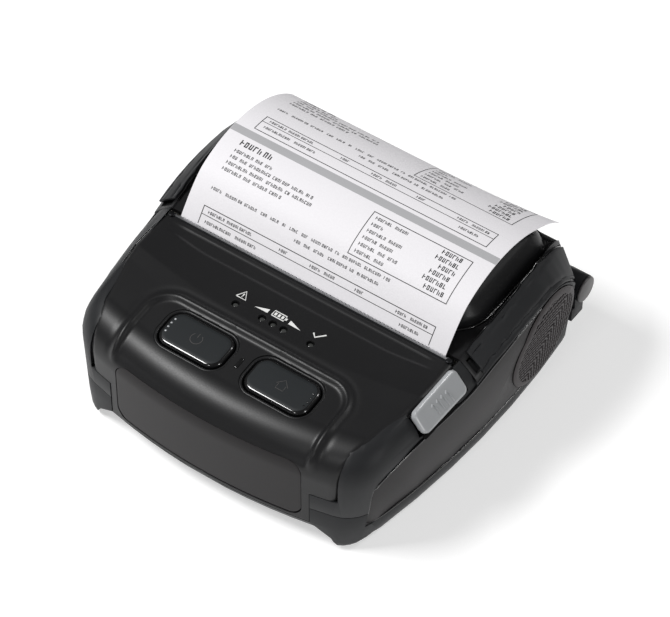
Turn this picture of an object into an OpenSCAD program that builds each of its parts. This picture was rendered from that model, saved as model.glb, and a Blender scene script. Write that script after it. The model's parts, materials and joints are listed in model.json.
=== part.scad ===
// Portable barcode label printer for 112 mm media, built as an assembly of separate pieces.
// X runs to the right, Y from the button end back to the hinge, Z up.
// The origin lies on the ground, midway between the front of the case and its rear wall.

/* [Body] */
// Greatest width over the side walls
body_w = 140; // [138:1:146]
// Depth from the bowed front to the rear wall
body_d = 132; // [128:1:136]
// Height of the operator panel at the tear bar
panel_h = 49.5; // [49:0.5:52]
// Height of the dome over the paper roll
dome_h = 64.5; // [64:0.5:68]
// Thickness of the case walls
wall = 2.4; // [2.2:0.1:2.6]
// Radius of the bow along the front
front_bow_r = 215; // [180:5:260]
// Radius of the bow along each side
side_bow_r = 360; // [320:10:400]
// Plan radius of the front corners
front_corner_r = 15; // [13:0.5:18]
// Plan radius of the rear corners
rear_corner_r = 4; // [3:0.5:6]
// How far each side wall leans in towards the ground
side_lean = 4; // [3:0.5:5]
// Radius of the roll-over between the front face and the panel
roll_over_r = 14; // [12:1:15]
// Height of the seam between the lower and the upper case
case_seam_z = 18; // [17.5:0.5:19]
// Gap left between neighbouring shells
joint_gap = 0.3; // [0.2:0.05:0.4]

/* [Operator panel] */
// Width of the sloping rail beside the panel
rail_w = 8.2; // [7.5:0.1:9]
// Half width of the panel's front face
face_half_w = 42; // [40:0.5:44]
// Height of the front face's lower edge
face_foot_z = 10.6; // [9.8:0.2:11]
// Half width of the front cover plate
plate_half_w = 39; // [34:1:42]
// Height of the front cover plate
plate_h = 26; // [22:1:26]
// Length of a button across the printer
button_l = 26.4; // [24:0.2:29]
// Depth of a button
button_d = 14.9; // [13.5:0.2:16]
// Distance between the two buttons' centres
button_pitch = 36; // [35:1:40]
// Travel of a button
button_travel = 0.8; // [0.5:0.1:0.8]
// Diameter of an indicator's light pipe
led_d = 2.6; // [2:0.2:3]
// Distance between the outer indicators
led_span = 31.6; // [28:0.2:34]
// Pitch of the three battery indicators
led_pitch = 4.5; // [4:0.25:5]

/* [Paper and platen] */
// Width of the paper
paper_w = 112; // [108:1:112]
// Thickness of the label stock as modelled
paper_t = 0.2; // [0.15:0.05:0.25]
// Diameter of the paper roll
roll_od = 44; // [40:1:45]
// Diameter of the roll's cardboard core
core_od = 16; // [14:1:25]
// Diameter of the platen roller's rubber
platen_od = 10; // [9.6:0.1:10.2]
// Diameter of the platen's steel shaft
platen_shaft_d = 4; // [3.6:0.1:4.2]
// Radius of the arc that the printed strip follows
strip_r = 45; // [44.5:0.5:46]

/* [Cover] */
// Length of the cover, from its front edge to the rear wall
cover_l = 66.4; // [65.8:0.2:67]
// Radius of the dome, seen from the side
dome_r = 44; // [43:0.5:46]
// Width of the dome
dome_w = 117; // [116:0.5:118]
// Diameter of the hinge barrel
barrel_d = 10.4; // [10:0.2:10.6]
// Diameter of the hinge pin
hinge_pin_d = 4; // [3:0.5:5]

/* [Release] */
// Length of the release button along the rail
release_l = 25; // [22:1:26]
// Width of the release button down the slope
release_w = 9.6; // [8.5:0.1:10]

/* [Drive] */
// Module of the gears
gear_m = 0.5; // [0.48:0.01:0.5]
// Width of the gears
gear_w = 2.4; // [2:0.1:2.6]
// Diameter of the stepper motor
motor_d = 23; // [20:1:24]
// Length of the stepper motor
motor_l = 17; // [14:1:20]

/* [Battery] */
// Width of the battery pack
battery_w = 80; // [70:1:82]
// Depth of the battery pack
battery_d = 35; // [32:1:36]
// Height of the battery pack
battery_h = 16.5; // [14:0.5:17]

/* [Hidden] */

$fn = 32;
tiny = 0.02;
over = 60;
run_fit = 0.05;
skin_t = 1.1;
skin_recess = 1.25;
pad_proud = 0.8;

front_y = -body_d/2;
rear_y = body_d/2;
widest_y = rear_y - 42;
cover_front_y = rear_y - cover_l;
min_r = 0.8;

roll_level_z = panel_h - 2.5;
roll_start_z = roll_level_z - roll_over_r;
panel_top_inset = body_d/2 - 27;
foot_inset = 9;
shoulder_z = 42;
wall_top_z = roll_level_z + 0.6;

roll_r = roll_od/2;
roll_gap = 0.3;
bay_wall = 2;
bay_seat_h = 2.3;
roll_y = rear_y - 32;
roll_z = wall + bay_seat_h + bay_wall + roll_gap + roll_r;

platen_r = platen_od/2;
platen_y = cover_front_y + 2;
platen_z = panel_h - 7.5;
nip_y = platen_y - platen_r - 0.15 - paper_t/2;

hinge_y = rear_y + barrel_d/2 + 0.6;
hinge_z = 23;
hinge_span = body_w/2 - 4;
knuckle_w = 7.5;

// Side tables give how far the outline lies inside the widest one, at each height.
front_inset = concat(
  [[0, foot_inset], [face_foot_z*0.4, foot_inset*0.38], [face_foot_z, 0]],
  [for (a = [0:15:90]) [roll_start_z + roll_over_r*sin(a), roll_over_r*(1 - cos(a))]],
  [[panel_h, panel_top_inset]]);
corner_inset = [[0, 2.4], [1.2, 0.9], [3.5, 0.2], [face_foot_z, 0]];
side_foot = [[0, side_lean + 2.2], [2.5, side_lean - 0.2], [6, side_lean*0.7], [shoulder_z - 4, 0]];
side_inset = concat(side_foot, [[shoulder_z, 1.2], [shoulder_z + 3.5, 3.4], [panel_h, rail_w]]);
wall_inset = concat(side_foot, [[wall_top_z, 0.8]]);

function arc(c, r, a0, a1, n) =
  [for (k = [1:n]) let (a = a0 + (a1 - a0)*k/n) c + r*[cos(a), sin(a)]];
function meet(c1, r1, c2, r2) =
  let (d = norm(c2 - c1), a = (r1*r1 - r2*r2 + d*d)/(2*d), h = sqrt(r1*r1 - a*a), u = (c2 - c1)/d)
  c1 + a*u - h*[u.y, -u.x];
function mirrored(right) =
  concat(right, [for (k = [len(right) - 1:-1:0]) [-right[k].x, right[k].y]]);

// Plan outline of the body, with its front, its sides and all of it drawn in.
function outline(fi, si, t) =
  let (cf = [0, front_y + fi + t + front_bow_r],
       cs = [body_w/2 - si - t - side_bow_r, widest_y],
       rc = max(front_corner_r - si + min(fi, 16)/4 - t, min_r),
       rr = max(rear_corner_r - t, min_r),
       cc = meet(cf, front_bow_r - rc, cs, side_bow_r - rc),
       ry = rear_y - t - rr,
       cr = [cs.x + sqrt(pow(side_bow_r - rr, 2) - pow(ry - widest_y, 2)), ry],
       a1 = atan2(cc.y - cf.y, cc.x - cf.x),
       a2 = atan2(cc.y - cs.y, cc.x - cs.x),
       a3 = atan2(cr.y - cs.y, cr.x - cs.x))
  mirrored(concat(arc(cf, front_bow_r, -90, a1, 6), arc(cc, rc, a1, a2, 5),
                  arc(cs, side_bow_r, a2, a3, 6), arc(cr, rr, a3, 90, 2)));

// Half width of the body at a depth, behind the front corners.
function half_w(y) =
  let (edge = max(0, y - rear_y + rear_corner_r))
  body_w/2 - side_bow_r + sqrt(pow(side_bow_r, 2) - pow(y - widest_y, 2))
  - rear_corner_r + sqrt(pow(rear_corner_r, 2) - pow(edge, 2));

// Skins a stack of rings, from the bottom ring up. Each ring's halves mirror each other.
module loft(rings) {
  n = len(rings[0]);
  m = len(rings);
  top = (m - 1)*n;
  polyhedron(
    points = [for (r = rings) each r],
    faces = concat(
      [for (k = [0:n/2 - 2], t = [0, 1]) t == 0 ? [k, k + 1, n - 2 - k] : [k, n - 2 - k, n - 1 - k]],
      [for (j = [0:m - 2], k = [0:n - 1], t = [0, 1])
        let (a = j*n + k, b = j*n + (k + 1)%n) t == 0 ? [a, a + n, b + n] : [a, b + n, b]],
      [for (k = [0:n/2 - 2], t = [0, 1])
        t == 0 ? [top + n - 2 - k, top + k + 1, top + k] : [top + n - 1 - k, top + n - 2 - k, top + k]]),
    convexity = 8);
}

function ring(fi, si, t, z) = [for (p = outline(fi, si, t)) [p.x, p.y, z]];

// The body with the roll-over and the sloping rails.
module case_form(zs, t = 0, dz = 0)
  loft([for (z = zs) ring(lookup(z, front_inset), lookup(z, side_inset), t, z + dz)]);

// The body with side walls that stand up to the cover's seam.
module wall_form(zs, t = 0, table = front_inset)
  loft([for (z = zs) ring(lookup(z, table), lookup(z, wall_inset), t, z)]);

module along_x(w) rotate([90, 0, 90]) linear_extrude(w, center = true) children();
module along_y(y0, y1) translate([0, y1, 0]) rotate([90, 0, 0]) linear_extrude(y1 - y0) children();
module box(x0, x1, y0, y1, z0, z1)
  translate([x0, y0, z0]) cube([x1 - x0, y1 - y0, z1 - z0]);
module rod(x0, x1, y, z, r) translate([x0, y, z]) rotate([0, 90, 0]) cylinder(h = x1 - x0, r = r);
module both_sides() {
  children();
  mirror([1, 0, 0]) children();
}
module rounded_rect(x0, x1, y0, y1, r) {
  polygon(concat(arc([x1 - r, y0 + r], r, -90, 0, 5), arc([x1 - r, y1 - r], r, 0, 90, 5),
                 arc([x0 + r, y1 - r], r, 90, 180, 5), arc([x0 + r, y0 + r], r, 180, 270, 5)));
}

roll_levels = [for (a = [0:15:90]) roll_start_z + roll_over_r*sin(a)];
lower_levels = [0, 2.5, 6, face_foot_z, case_seam_z - joint_gap/2];
upper_levels = concat([case_seam_z + joint_gap/2, roll_start_z], [for (k = [1:6]) roll_levels[k]],
                      [panel_h]);
panel_levels = concat([face_foot_z, roll_start_z], [for (k = [1:6]) roll_levels[k]], [panel_h]);
corner_z = 25.5;
corner_x = face_half_w + 10;
foot_x = face_half_w + 8;
foot_z = 5.2;

// The cover meets the side walls along an arched seam.
seam_top_z = wall_top_z - 0.6;
seam_mid_y = rear_y - 35;
seam_rear_y = rear_y - 27;
seam_r = 115;
function seam_z(y) = y < seam_rear_y
  ? seam_top_z - seam_r + sqrt(seam_r*seam_r - pow(min(y, seam_mid_y) - seam_mid_y, 2))
  : seam_top_z - 24.6*(1 - sqrt(1 - pow((y - seam_rear_y)/28, 2)));
seam_ys = concat([for (k = [0:5]) cover_front_y + (seam_rear_y - cover_front_y)*k/5],
                 [for (k = [1:8]) seam_rear_y + (rear_y - seam_rear_y)*k/8]);

module below_seam(gap)
  along_x(body_w + over)
    polygon(concat([[front_y - 9, -over], [front_y - 9, over], [cover_front_y - gap, over],
                    [cover_front_y - gap, seam_z(cover_front_y) - gap]],
                   [for (y = seam_ys) [y, seam_z(y) - gap]],
                   [[rear_y + 9, seam_z(rear_y) - gap], [rear_y + 9, -over]]));

// Region of the side wall that holds the side panel, seen from the side.
side_front_y = front_y + 13.5;
module side_region(gap)
  polygon(concat([[side_front_y - gap, 11 - gap], [side_front_y + 1.5 - gap, 29],
                  [side_front_y + 4.5, 33 + gap], [side_front_y + 21, 38.5 + gap],
                  [cover_front_y - 6, 40 + gap], [cover_front_y, 40.5 + gap]],
                 [for (k = [1:6]) [seam_ys[k], seam_z(seam_ys[k]) - 1.9 + gap]],
                 [[pad_y, 10 - gap]]));

// The grip pad closes the panel's rear end.
pad_y = rear_y - 23.5;
pad_z = 26;
module pad_region(gap)
  polygon([for (k = [0:31]) let (a = k*11.25)
    [pad_y + (20.5 + gap)*cos(a), pad_z + (19.2 + gap)*sin(a)]]);
module side_recess() both_sides() intersection() {
  side_skin(1, skin_recess);
  box(0, body_w, front_y, rear_y, 0, over);
  along_x(body_w + over) union() {
    side_region(joint_gap);
    pad_region(joint_gap);
  }
}

side_levels = [0, 2.5, 6, shoulder_z - 4, wall_top_z];
module side_skin(outer, inner)
  difference() {
    wall_form(side_levels, -outer);
    wall_form(concat([-1], side_levels, [wall_top_z + 9]), inner);
  }

module lower_shell() {
  difference() {
    union() {
      case_form(lower_levels);
      intersection() {
        wall_form([0, 1.2, 3.5, face_foot_z, case_seam_z - joint_gap/2], 0, corner_inset);
        both_sides() along_y(front_y - 1, front_y + 27)
          polygon([[face_half_w, case_seam_z], [face_half_w, face_foot_z], [foot_x, foot_z],
                   [foot_x + 2.5, -1], [body_w, -1], [body_w, case_seam_z]]);
      }
    }
    case_form([wall, wall + 3, 9 + wall, case_seam_z + 5], wall);
    box(-face_half_w - joint_gap, face_half_w + joint_gap, front_y - 1, front_y + 14,
        face_foot_z - joint_gap, case_seam_z + 1);
  }
}

battery_x = 7;
battery_y = front_y + 33;
battery_gap = 0.4;
bay_top_z = 0.5 + battery_h + battery_gap;
bay_skin = 1.5;
screw_x = body_w/2 - 16;
screw_ys = [front_y + 22, rear_y - 7];

module battery_hole(g, z0, z1)
  box(battery_x - battery_w/2 - g, battery_x + battery_w/2 + g,
      battery_y - battery_d/2 - g, battery_y + battery_d/2 + g, z0, z1);

module at_screws() both_sides() for (y = screw_ys) translate([screw_x, y, 0]) children();

module case_knuckles()
  both_sides() difference() {
    union() {
      rod(hinge_span - knuckle_w, hinge_span, hinge_y, hinge_z, barrel_d/2);
      box(hinge_span - knuckle_w, hinge_span, rear_y + joint_gap, hinge_y, hinge_z - 6, hinge_z - 1);
      box(hinge_span - knuckle_w, hinge_span, rear_y - 1.5, hinge_y, hinge_z - 11, hinge_z - 5.5);
    }
    rod(0, hinge_span + 1, hinge_y, hinge_z, hinge_pin_d/2 + tiny);
  }

port_x = -14;
port_z = 8.6;
port_w = 24;
port_h = 10;
jack_x = port_x - 5.6;
socket_x = port_x + 5.4;

module lower_case() color("#2f3033") {
  difference() {
    union() {
      lower_shell();
      battery_hole(battery_gap + bay_skin, 0, bay_top_z + bay_skin);
      at_screws() cylinder(h = case_seam_z - 1, r = 3.4);
      box(-30, 30, roll_y - 14, roll_y - 12, wall - 1, wall + bay_seat_h + 1);
      box(-30, 30, roll_y + 12, roll_y + 14, wall - 1, wall + bay_seat_h + 1);
    }
    battery_hole(battery_gap, -1, bay_top_z);
    at_screws() translate([0, 0, -1]) cylinder(h = 3.2, r = 3);
    at_screws() translate([0, 0, -1]) cylinder(h = case_seam_z + 2, r = 1.3);
    rod(-over, over, roll_y, roll_z, roll_r + roll_gap + bay_wall);
    side_recess();
    box(port_x - port_w/2, port_x + port_w/2, rear_y - 1, rear_y + 1, port_z - port_h/2, port_z + port_h/2);
    translate([jack_x, 0, port_z]) rotate([-90, 0, 0]) cylinder(h = rear_y + 1, r = 2.8);
    box(socket_x - 4.2, socket_x + 4.2, rear_y - wall - 1, rear_y + 1, port_z - 1.7, port_z + 1.7);
  }
  case_knuckles();
  both_sides() box(20, 30, bracket_y + 1.8, bracket_y + 6.4, wall - tiny, head_foot_z - 8);
}

module panel_plan(g) {
  polygon(outline(rail_w - g, rail_w - g, 0));
  translate([-corner_x - g, front_y - 3]) square([2*(corner_x + g), 28]);
}

// The release button sits on the slope of the right rail.
release_y = cover_front_y - 17;
release_tilt = 51;
release_x = half_w(release_y) - 4.1;
release_z = panel_h - 4.3;
module on_release() translate([release_x, release_y, release_z]) rotate([0, release_tilt, 0]) children();
module release_pocket()
  on_release() cube([release_w + 2*joint_gap, release_l + 2*joint_gap, 14], center = true);

spring_y = -4;
module upper_case() color("#2f3033") {
  upper_shell();
  intersection() {
    case_form(upper_levels, 0.8*wall);
    on_release() translate([-3.2, spring_y - 2.8, -11]) cube([20, 5.6, 1.2]);
  }
}
module upper_shell() difference() {
  union() {
    intersection() {
      case_form(upper_levels);
      box(-body_w, body_w, front_y - 1, cover_front_y - joint_gap, 0, over);
    }
    intersection() {
      wall_form([case_seam_z + joint_gap/2, shoulder_z - 4, wall_top_z]);
      union() {
        box(-body_w, body_w, cover_front_y - joint_gap, rear_y + 1, 0, over);
        box(-body_w, body_w, cover_front_y - joint_gap - tiny, rear_y, 0, seam_z(cover_front_y) - joint_gap);
      }
    }
  }
  case_form([for (z = upper_levels) z == upper_levels[0] ? z - 1 : z], wall, -wall);
  difference() {
    wall_form([case_seam_z - 1, shoulder_z - 4, wall_top_z + 5], wall);
    box(-body_w, body_w, front_y - 1, cover_front_y - joint_gap, 0, over);
  }
  translate([0, 0, corner_z - joint_gap]) linear_extrude(over) panel_plan(joint_gap);
  box(-face_half_w - joint_gap, face_half_w + joint_gap, front_y - 1, front_y + 14, 0, corner_z);
  difference() {
    box(-body_w, body_w, front_y - 1, rear_y + 9, case_seam_z, over);
    below_seam(joint_gap);
  }
  side_recess();
  release_pocket();
  rod(gear_x - gear_w/2 - 0.4, gear_x + gear_w, platen_y, platen_z, platen_r + 0.9);
  box(-body_w/2 + 4, body_w/2 - 4, rear_y - 18, rear_y - wall - 0.01, case_seam_z - 1, over);
}

// Buttons and panel share one tilted frame.
button_y = front_y + 22.6;
button_z = roll_level_z + 0.45;
button_tilt = 5.5;
well_gap = 0.35;
module on_buttons() translate([0, button_y, button_z]) rotate([button_tilt, 0, 0]) children();
module button_plan(g)
  rounded_rect(-button_l/2 - g, button_l/2 + g, -button_d/2 - g, button_d/2 + g, 5 + g);

led_y = front_y + 42;
led_xs = [-led_span/2, -led_pitch, 0, led_pitch, led_span/2];

module plate_region(g)
  rounded_rect(-plate_half_w - g, plate_half_w + g, face_foot_z + 1.6 - g,
               face_foot_z + 1.6 + plate_h + g, 5);
plate_levels = [face_foot_z - 1, roll_levels[0], roll_levels[1], roll_levels[2], roll_levels[3]];

panel_rear_y = cover_front_y - 4;
module operator_panel() color("#2b2b2c") {
  panel_skin();
  on_buttons() for (p = [[-36.5, 10.5], [0, 0], [36.5, 10.5]])
    translate([p.x, p.y, switch_top - switch_h]) cylinder(h = switch_h - switch_top - 1.6, r = 1.6);
  difference() {
    union() {
      box(-tear_half_w, tear_half_w, panel_rear_y - 1.5, panel_rear_y + 0.9, tear_z - 3.3, tear_z - 2.2);
      both_sides() box(paper_w/2 + 0.8, tear_half_w, panel_rear_y - 1.5, panel_rear_y + 1.8,
                       tear_z - 3.3, tear_z - 2.2);
    }
    both_sides() translate([tear_screw_x, panel_rear_y + 0.9, 0]) cylinder(h = over, r = 0.6 + tiny);
    release_pocket();
  }
}
module panel_skin() difference() {
  intersection() {
    case_form(panel_levels);
    union() {
      translate([0, 0, corner_z]) linear_extrude(over) panel_plan(0);
      box(-face_half_w, face_half_w, front_y - 1, rear_y, 0, corner_z + 1);
    }
    box(-body_w, body_w, front_y - 1, panel_rear_y, 0, over);
  }
  case_form([for (z = panel_levels) z == face_foot_z ? z - 1 : z], wall, -wall);
  on_buttons() {
    for (s = [-1, 1]) translate([s*button_pitch/2, 0, -9]) linear_extrude(over) button_plan(well_gap);
    translate([0, 0, -0.1]) linear_extrude(over) difference() {
      rounded_rect(-face_half_w + 1, face_half_w - 1, -22, button_d/2 + 3.4, 9);
      for (s = [-1, 1]) translate([s*button_pitch/2, 0]) button_plan(2.4);
    }
  }
  for (x = led_xs) translate([x, led_y, 0]) cylinder(h = over, r = led_d/2 + joint_gap/2);
  release_pocket();
  intersection() {
    along_y(front_y - 2, front_y + 20) plate_region(joint_gap);
    difference() {
      box(-body_w, body_w, front_y - 2, 0, 0, over);
      case_form(plate_levels, skin_recess);
    }
  }
}

module front_cover_plate() color("#333031") intersection() {
  along_y(front_y - 2, front_y + 20) plate_region(0);
  difference() {
    case_form(plate_levels, 0.1);
    case_form(plate_levels, skin_t);
  }
}

module side_panel(s) color("#3a3637") difference() {
  intersection() {
    side_skin(0, skin_t);
    box(s > 0 ? 0 : -body_w, s > 0 ? body_w : 0, front_y, rear_y, 0, over);
    along_x(body_w + over) side_region(0);
  }
  along_x(body_w + over) pad_region(0.2);
}
module side_panel_left() side_panel(-1);
module side_panel_right() side_panel(1);

module grip_pad(s) color("#3b3839") intersection() {
  side_skin(pad_proud, skin_t);
  box(s > 0 ? 0 : -body_w, s > 0 ? body_w : 0, front_y, rear_y, 0, over);
  along_x(body_w + over) pad_region(0);
}
module grip_pad_left() grip_pad(-1);
module grip_pad_right() grip_pad(1);

pipe_foot_z = panel_h - 8;
module light_pipes() color("#d8d8d0") {
  for (x = led_xs) translate([x, led_y, pipe_foot_z]) cylinder(h = panel_h - pipe_foot_z - 1.1, r = led_d/2);
  box(-led_span/2 - 2.5, led_span/2 + 2.5, led_y - 2, led_y + 2, pipe_foot_z, pipe_foot_z + 1.5);
}

// A cap with a rim below the panel and a stem that stops short of its switch.
cap_top = 0.4;
button_cap_h = 4.4;
stem_l = 2.6;
module button_cap(s) on_buttons() translate([s*button_pitch/2, 0, 0]) {
  translate([0, 0, cap_top - button_cap_h]) linear_extrude(button_cap_h) button_plan(0);
  translate([0, 0, cap_top - button_cap_h - stem_l]) cylinder(h = stem_l + 0.5, r = 2.4);
}
module power_button() color("#37393c") button_cap(-1);
module feed_button() color("#37393c") button_cap(1);

switch_top = cap_top - button_cap_h - stem_l - button_travel - 0.1;
switch_h = 3;
board_t = 1.6;
module button_board() color("#2d6b3f") difference() {
  on_buttons() translate([0, 3, switch_top - switch_h - board_t/2]) cube([78, 22, board_t], center = true);
  box(-led_span/2 - 5, led_span/2 + 5, led_y - 9, led_y + 9, 0, over);
}
module tact_switches() color("#c8c8c8") on_buttons() for (s = [-1, 1]) translate([s*button_pitch/2, 0, 0]) {
  translate([0, 0, switch_top - switch_h + 1.1]) cube([6, 6, 2.2], center = true);
  translate([0, 0, switch_top - 1]) cylinder(h = 1, r = 1.7);
}

module indicator_leds() color("#e8e4c8") for (x = led_xs)
  translate([x, led_y, pipe_foot_z - 1.4]) cube([1.8, 2.4, 1.6], center = true);

main_z = bay_top_z + bay_skin + 3;
main_y0 = front_y + 11;
main_y1 = front_y + 48;
main_x0 = battery_x - battery_w/2;
main_x1 = battery_x + battery_w/2 - 3;
module main_board() color("#2d6b3f") {
  box(main_x0, main_x1, main_y0, main_y1, main_z, main_z + board_t);
  both_sides() box(-26, -22, main_y0 + 4, main_y0 + 8, main_z - 3, main_z + tiny);
  box(-led_span/2 - 4, led_span/2 + 4, led_y - 3.5, led_y + 3.5, pipe_foot_z - 3.8, pipe_foot_z - 2.2);
  both_sides() box(12, 15, led_y - 1.5, led_y + 1.5, main_z + 1, pipe_foot_z - 3);
}

module board_parts() color("#3a3a3a") translate([0, 0, main_z + board_t]) {
  box(-12, 4, front_y + 14, front_y + 28, 0, 1.6);
  box(22, 32, front_y + 16, front_y + 26, 0, 1.2);
  translate([main_x1 - 6, front_y + 20, 0]) cylinder(h = 9, r = 4);
  box(main_x1 - 20, main_x1 - 2, front_y + 38, front_y + 44, 0, 5);
  box(-28, -18, front_y + 14, front_y + 20, 0, 4.5);
}

tear_y1 = cover_front_y - 1.5;
tear_z = panel_h + 0.2;
tear_half_w = paper_w/2 + 4;
tear_screw_x = tear_half_w - 1.4;
tooth_p = 1.6;
tooth_n = floor(tear_half_w*2/tooth_p);
module tear_bar() color("#d7d8d8") difference() {
  union() {
    box(-tear_half_w, tear_half_w, panel_rear_y + 0.1, tear_y1 - 0.9, tear_z - 2.2, tear_z - 0.6);
    translate([0, 0, tear_z - 0.6 - tiny]) linear_extrude(0.6 + tiny)
      polygon(concat([[-tear_half_w, panel_rear_y + 0.3], [-tear_half_w, tear_y1 - 0.7]],
        [for (k = [0:2*tooth_n - 1])
          [-tear_half_w + (k + 0.5)*tooth_p/2, tear_y1 - (k % 2 == 0 ? 0 : 0.7)]],
        [[tear_half_w, tear_y1 - 0.7], [tear_half_w, panel_rear_y + 0.3]]));
  }
  both_sides() translate([tear_screw_x, panel_rear_y + 0.9, 0]) cylinder(h = over, r = 0.6 + tiny);
}
module tear_bar_screws() color("#202020") both_sides() translate([tear_screw_x, panel_rear_y + 0.9, tear_z]) {
  cylinder(h = 0.7, r = 1.1);
  translate([0, 0, -3.2]) cylinder(h = 3.3, r = 0.6);
}

// The print head leans on the platen and pivots at its foot.
head_face_y = nip_y - paper_t/2 - 0.15;
head_top_z = panel_h - 3.8;
head_foot_z = platen_z - 10;
head_half_w = paper_w/2 - 1;
head_pivot_y = head_face_y - 2.9;
head_pivot_z = head_foot_z + 2;
module print_head() color("#e9e4da")
  box(-head_half_w, head_half_w, head_face_y - 1, head_face_y, platen_z - 6, platen_z + 3.5);
module head_heatsink() color("#b9bcbf") difference() {
  union() {
    box(-head_half_w, head_half_w, head_face_y - 4.6, head_face_y - 1, head_pivot_z, head_top_z);
    rod(-head_half_w, head_half_w, head_pivot_y, head_pivot_z, 1.8);
  }
  rod(-head_half_w - 1, -head_half_w + 6, head_pivot_y, head_pivot_z, 1 + run_fit);
  rod(head_half_w - 6, head_half_w + 1, head_pivot_y, head_pivot_z, 1 + run_fit);
  for (x = [-36, -12, 12, 36])
    box(x - 8, x + 8, head_face_y - 5, head_face_y - 3.4, head_pivot_z + 3, head_top_z - 8);
}

bracket_y = head_face_y - 9;
bracket_half_w = head_half_w + 2;
module head_bracket() color("#8e9296") difference() {
  union() {
    box(-bracket_half_w, bracket_half_w, bracket_y, bracket_y + 1.2, head_foot_z - 8, head_top_z - 1.5);
    both_sides() {
      box(bracket_half_w - 1.2, bracket_half_w, bracket_y, head_face_y - 1.6, latch_z - 3, head_top_z - 3);
      rod(bracket_half_w - 1.2, bracket_half_w, latch_y, latch_z, 3.2);
      rod(head_half_w - 5, bracket_half_w, head_pivot_y, head_pivot_z, 1);
      box(18, 32, bracket_y + 1, bracket_y + 7, head_foot_z - 8, head_foot_z - 6.8);
    }
  }
  rod(-over, over, latch_y, latch_z, 1.5 + run_fit);
  rod(plate_x1 - 1, plate_x1 + motor_l + 2, motor_y, motor_z, motor_d/2 + 0.4);
}

spring_xs = [-32, 0, 32];
module head_springs() color("#c4c7ca") for (x = spring_xs)
  translate([x, bracket_y + 1.2, platen_z]) rotate([-90, 0, 0]) difference() {
    cylinder(h = head_face_y - 4.6 - bracket_y - 1.2 - 0.35, r = 2.2);
    translate([0, 0, -1]) cylinder(h = 9, r = 1.6);
  }

// Gear train on the left: the pinion drives the idler, the idler the platen gear.
platen_teeth = 20;
idler_teeth = 44;
pinion_teeth = 12;
gear_x = -bracket_half_w - 4;
platen_r_p = gear_m*platen_teeth/2;
idler_r_p = gear_m*idler_teeth/2;
pinion_r_p = gear_m*pinion_teeth/2;
motor_y = cover_front_y - 21.4;
motor_z = platen_z - 18;
platen_c = [platen_y, platen_z];
motor_c = [motor_y, motor_z];
mesh_gap = 0.06;
idler_c = let (d = norm(motor_c - platen_c), u = (motor_c - platen_c)/d,
               ra = platen_r_p + idler_r_p + mesh_gap, rb = idler_r_p + pinion_r_p + mesh_gap,
               a = (ra*ra - rb*rb + d*d)/(2*d), h = sqrt(ra*ra - a*a))
  platen_c + a*u + h*[-u.y, u.x];

function involute(rb, t) = rb*[cos(t) + t*PI/180*sin(t), sin(t) - t*PI/180*cos(t)];
function turn(p, a) = [p.x*cos(a) - p.y*sin(a), p.x*sin(a) + p.y*cos(a)];
pressure = 20;
backlash = 0.1;
function flank(teeth) =
  let (rp = gear_m*teeth/2, rb = rp*cos(pressure), ra = rp + 0.85*gear_m,
       t0 = 0, t1 = sqrt(pow(ra/rb, 2) - 1)*180/PI,
       lean = tan(pressure)*180/PI - pressure, half = 90/teeth - backlash/2/rp*180/PI)
  [for (k = [0:3]) turn(involute(rb, t0 + (t1 - t0)*k/3), -half - lean)];
module gear_plan(teeth, phase) {
  rp = gear_m*teeth/2;
  root = rp - 1.2*gear_m;
  f = flank(teeth);
  polygon([for (k = [0:teeth - 1]) let (a = phase + k*360/teeth, rim = atan2(f[0].y, f[0].x))
    each concat([turn([root*cos(rim), root*sin(rim)], a)], [for (p = f) turn(p, a)],
                [for (j = [3:-1:0]) turn([f[j].x, -f[j].y], a)],
                [turn([root*cos(rim), -root*sin(rim)], a)])]);
}
module gear_at(c, teeth, phase, bore) difference() {
  translate([gear_x - gear_w/2, c.x, c.y]) rotate([90, 0, 90]) linear_extrude(gear_w) gear_plan(teeth, phase);
  rod(gear_x - gear_w, gear_x + gear_w, c.x, c.y, bore);
}
to_platen = atan2(platen_c.y - idler_c.y, platen_c.x - idler_c.x);
to_motor = atan2(motor_c.y - idler_c.y, motor_c.x - idler_c.x);
idler_past = (to_platen - to_motor) - floor((to_platen - to_motor)/(360/idler_teeth))*360/idler_teeth;
module platen_gear() color("#e7e3d8")
  gear_at(platen_c, platen_teeth, to_platen + 180 + 180/platen_teeth, platen_shaft_d/2 + tiny);
module idler_gear() color("#e7e3d8") gear_at(idler_c, idler_teeth, to_platen, 1.5 + run_fit);
module motor_pinion() color("#c9a34a")
  gear_at(motor_c, pinion_teeth,
          to_motor + 180 + 180/pinion_teeth - idler_past*idler_teeth/pinion_teeth, 1 + tiny);

plate_x1 = -bracket_half_w;
plate_x0 = plate_x1 - 1;
module gear_plate() color("#9a9da1") difference() {
  union() {
    box(plate_x0, plate_x1, motor_y - 12, head_face_y - 1.6, motor_z - 13, head_foot_z + 2);
    rod(gear_x - gear_w/2 - 0.4, plate_x0 + tiny, idler_c.x, idler_c.y, 1.5);
    rod(gear_x + gear_w/2 + 0.2, plate_x0 + tiny, idler_c.x, idler_c.y, 2.2);
    rod(plate_x0, plate_x1, latch_y, latch_z, 3.2);
  }
  rod(plate_x0 - 1, plate_x1 + 1, motor_y, motor_z, 4.5);
  rod(plate_x0 - 1, plate_x1 + 1, latch_y, latch_z, 1.5 + run_fit);
}
module stepper_motor() color("#a9acae") difference() {
  union() {
    rod(plate_x1, plate_x1 + motor_l, motor_y, motor_z, motor_d/2);
    rod(plate_x0, plate_x1, motor_y, motor_z, 4);
    rod(plate_x1 + motor_l, plate_x1 + motor_l + 1, motor_y, motor_z, 3);
  }
  rod(plate_x0 - 1, plate_x0 + 6, motor_y, motor_z, 1 + run_fit);
}

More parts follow.
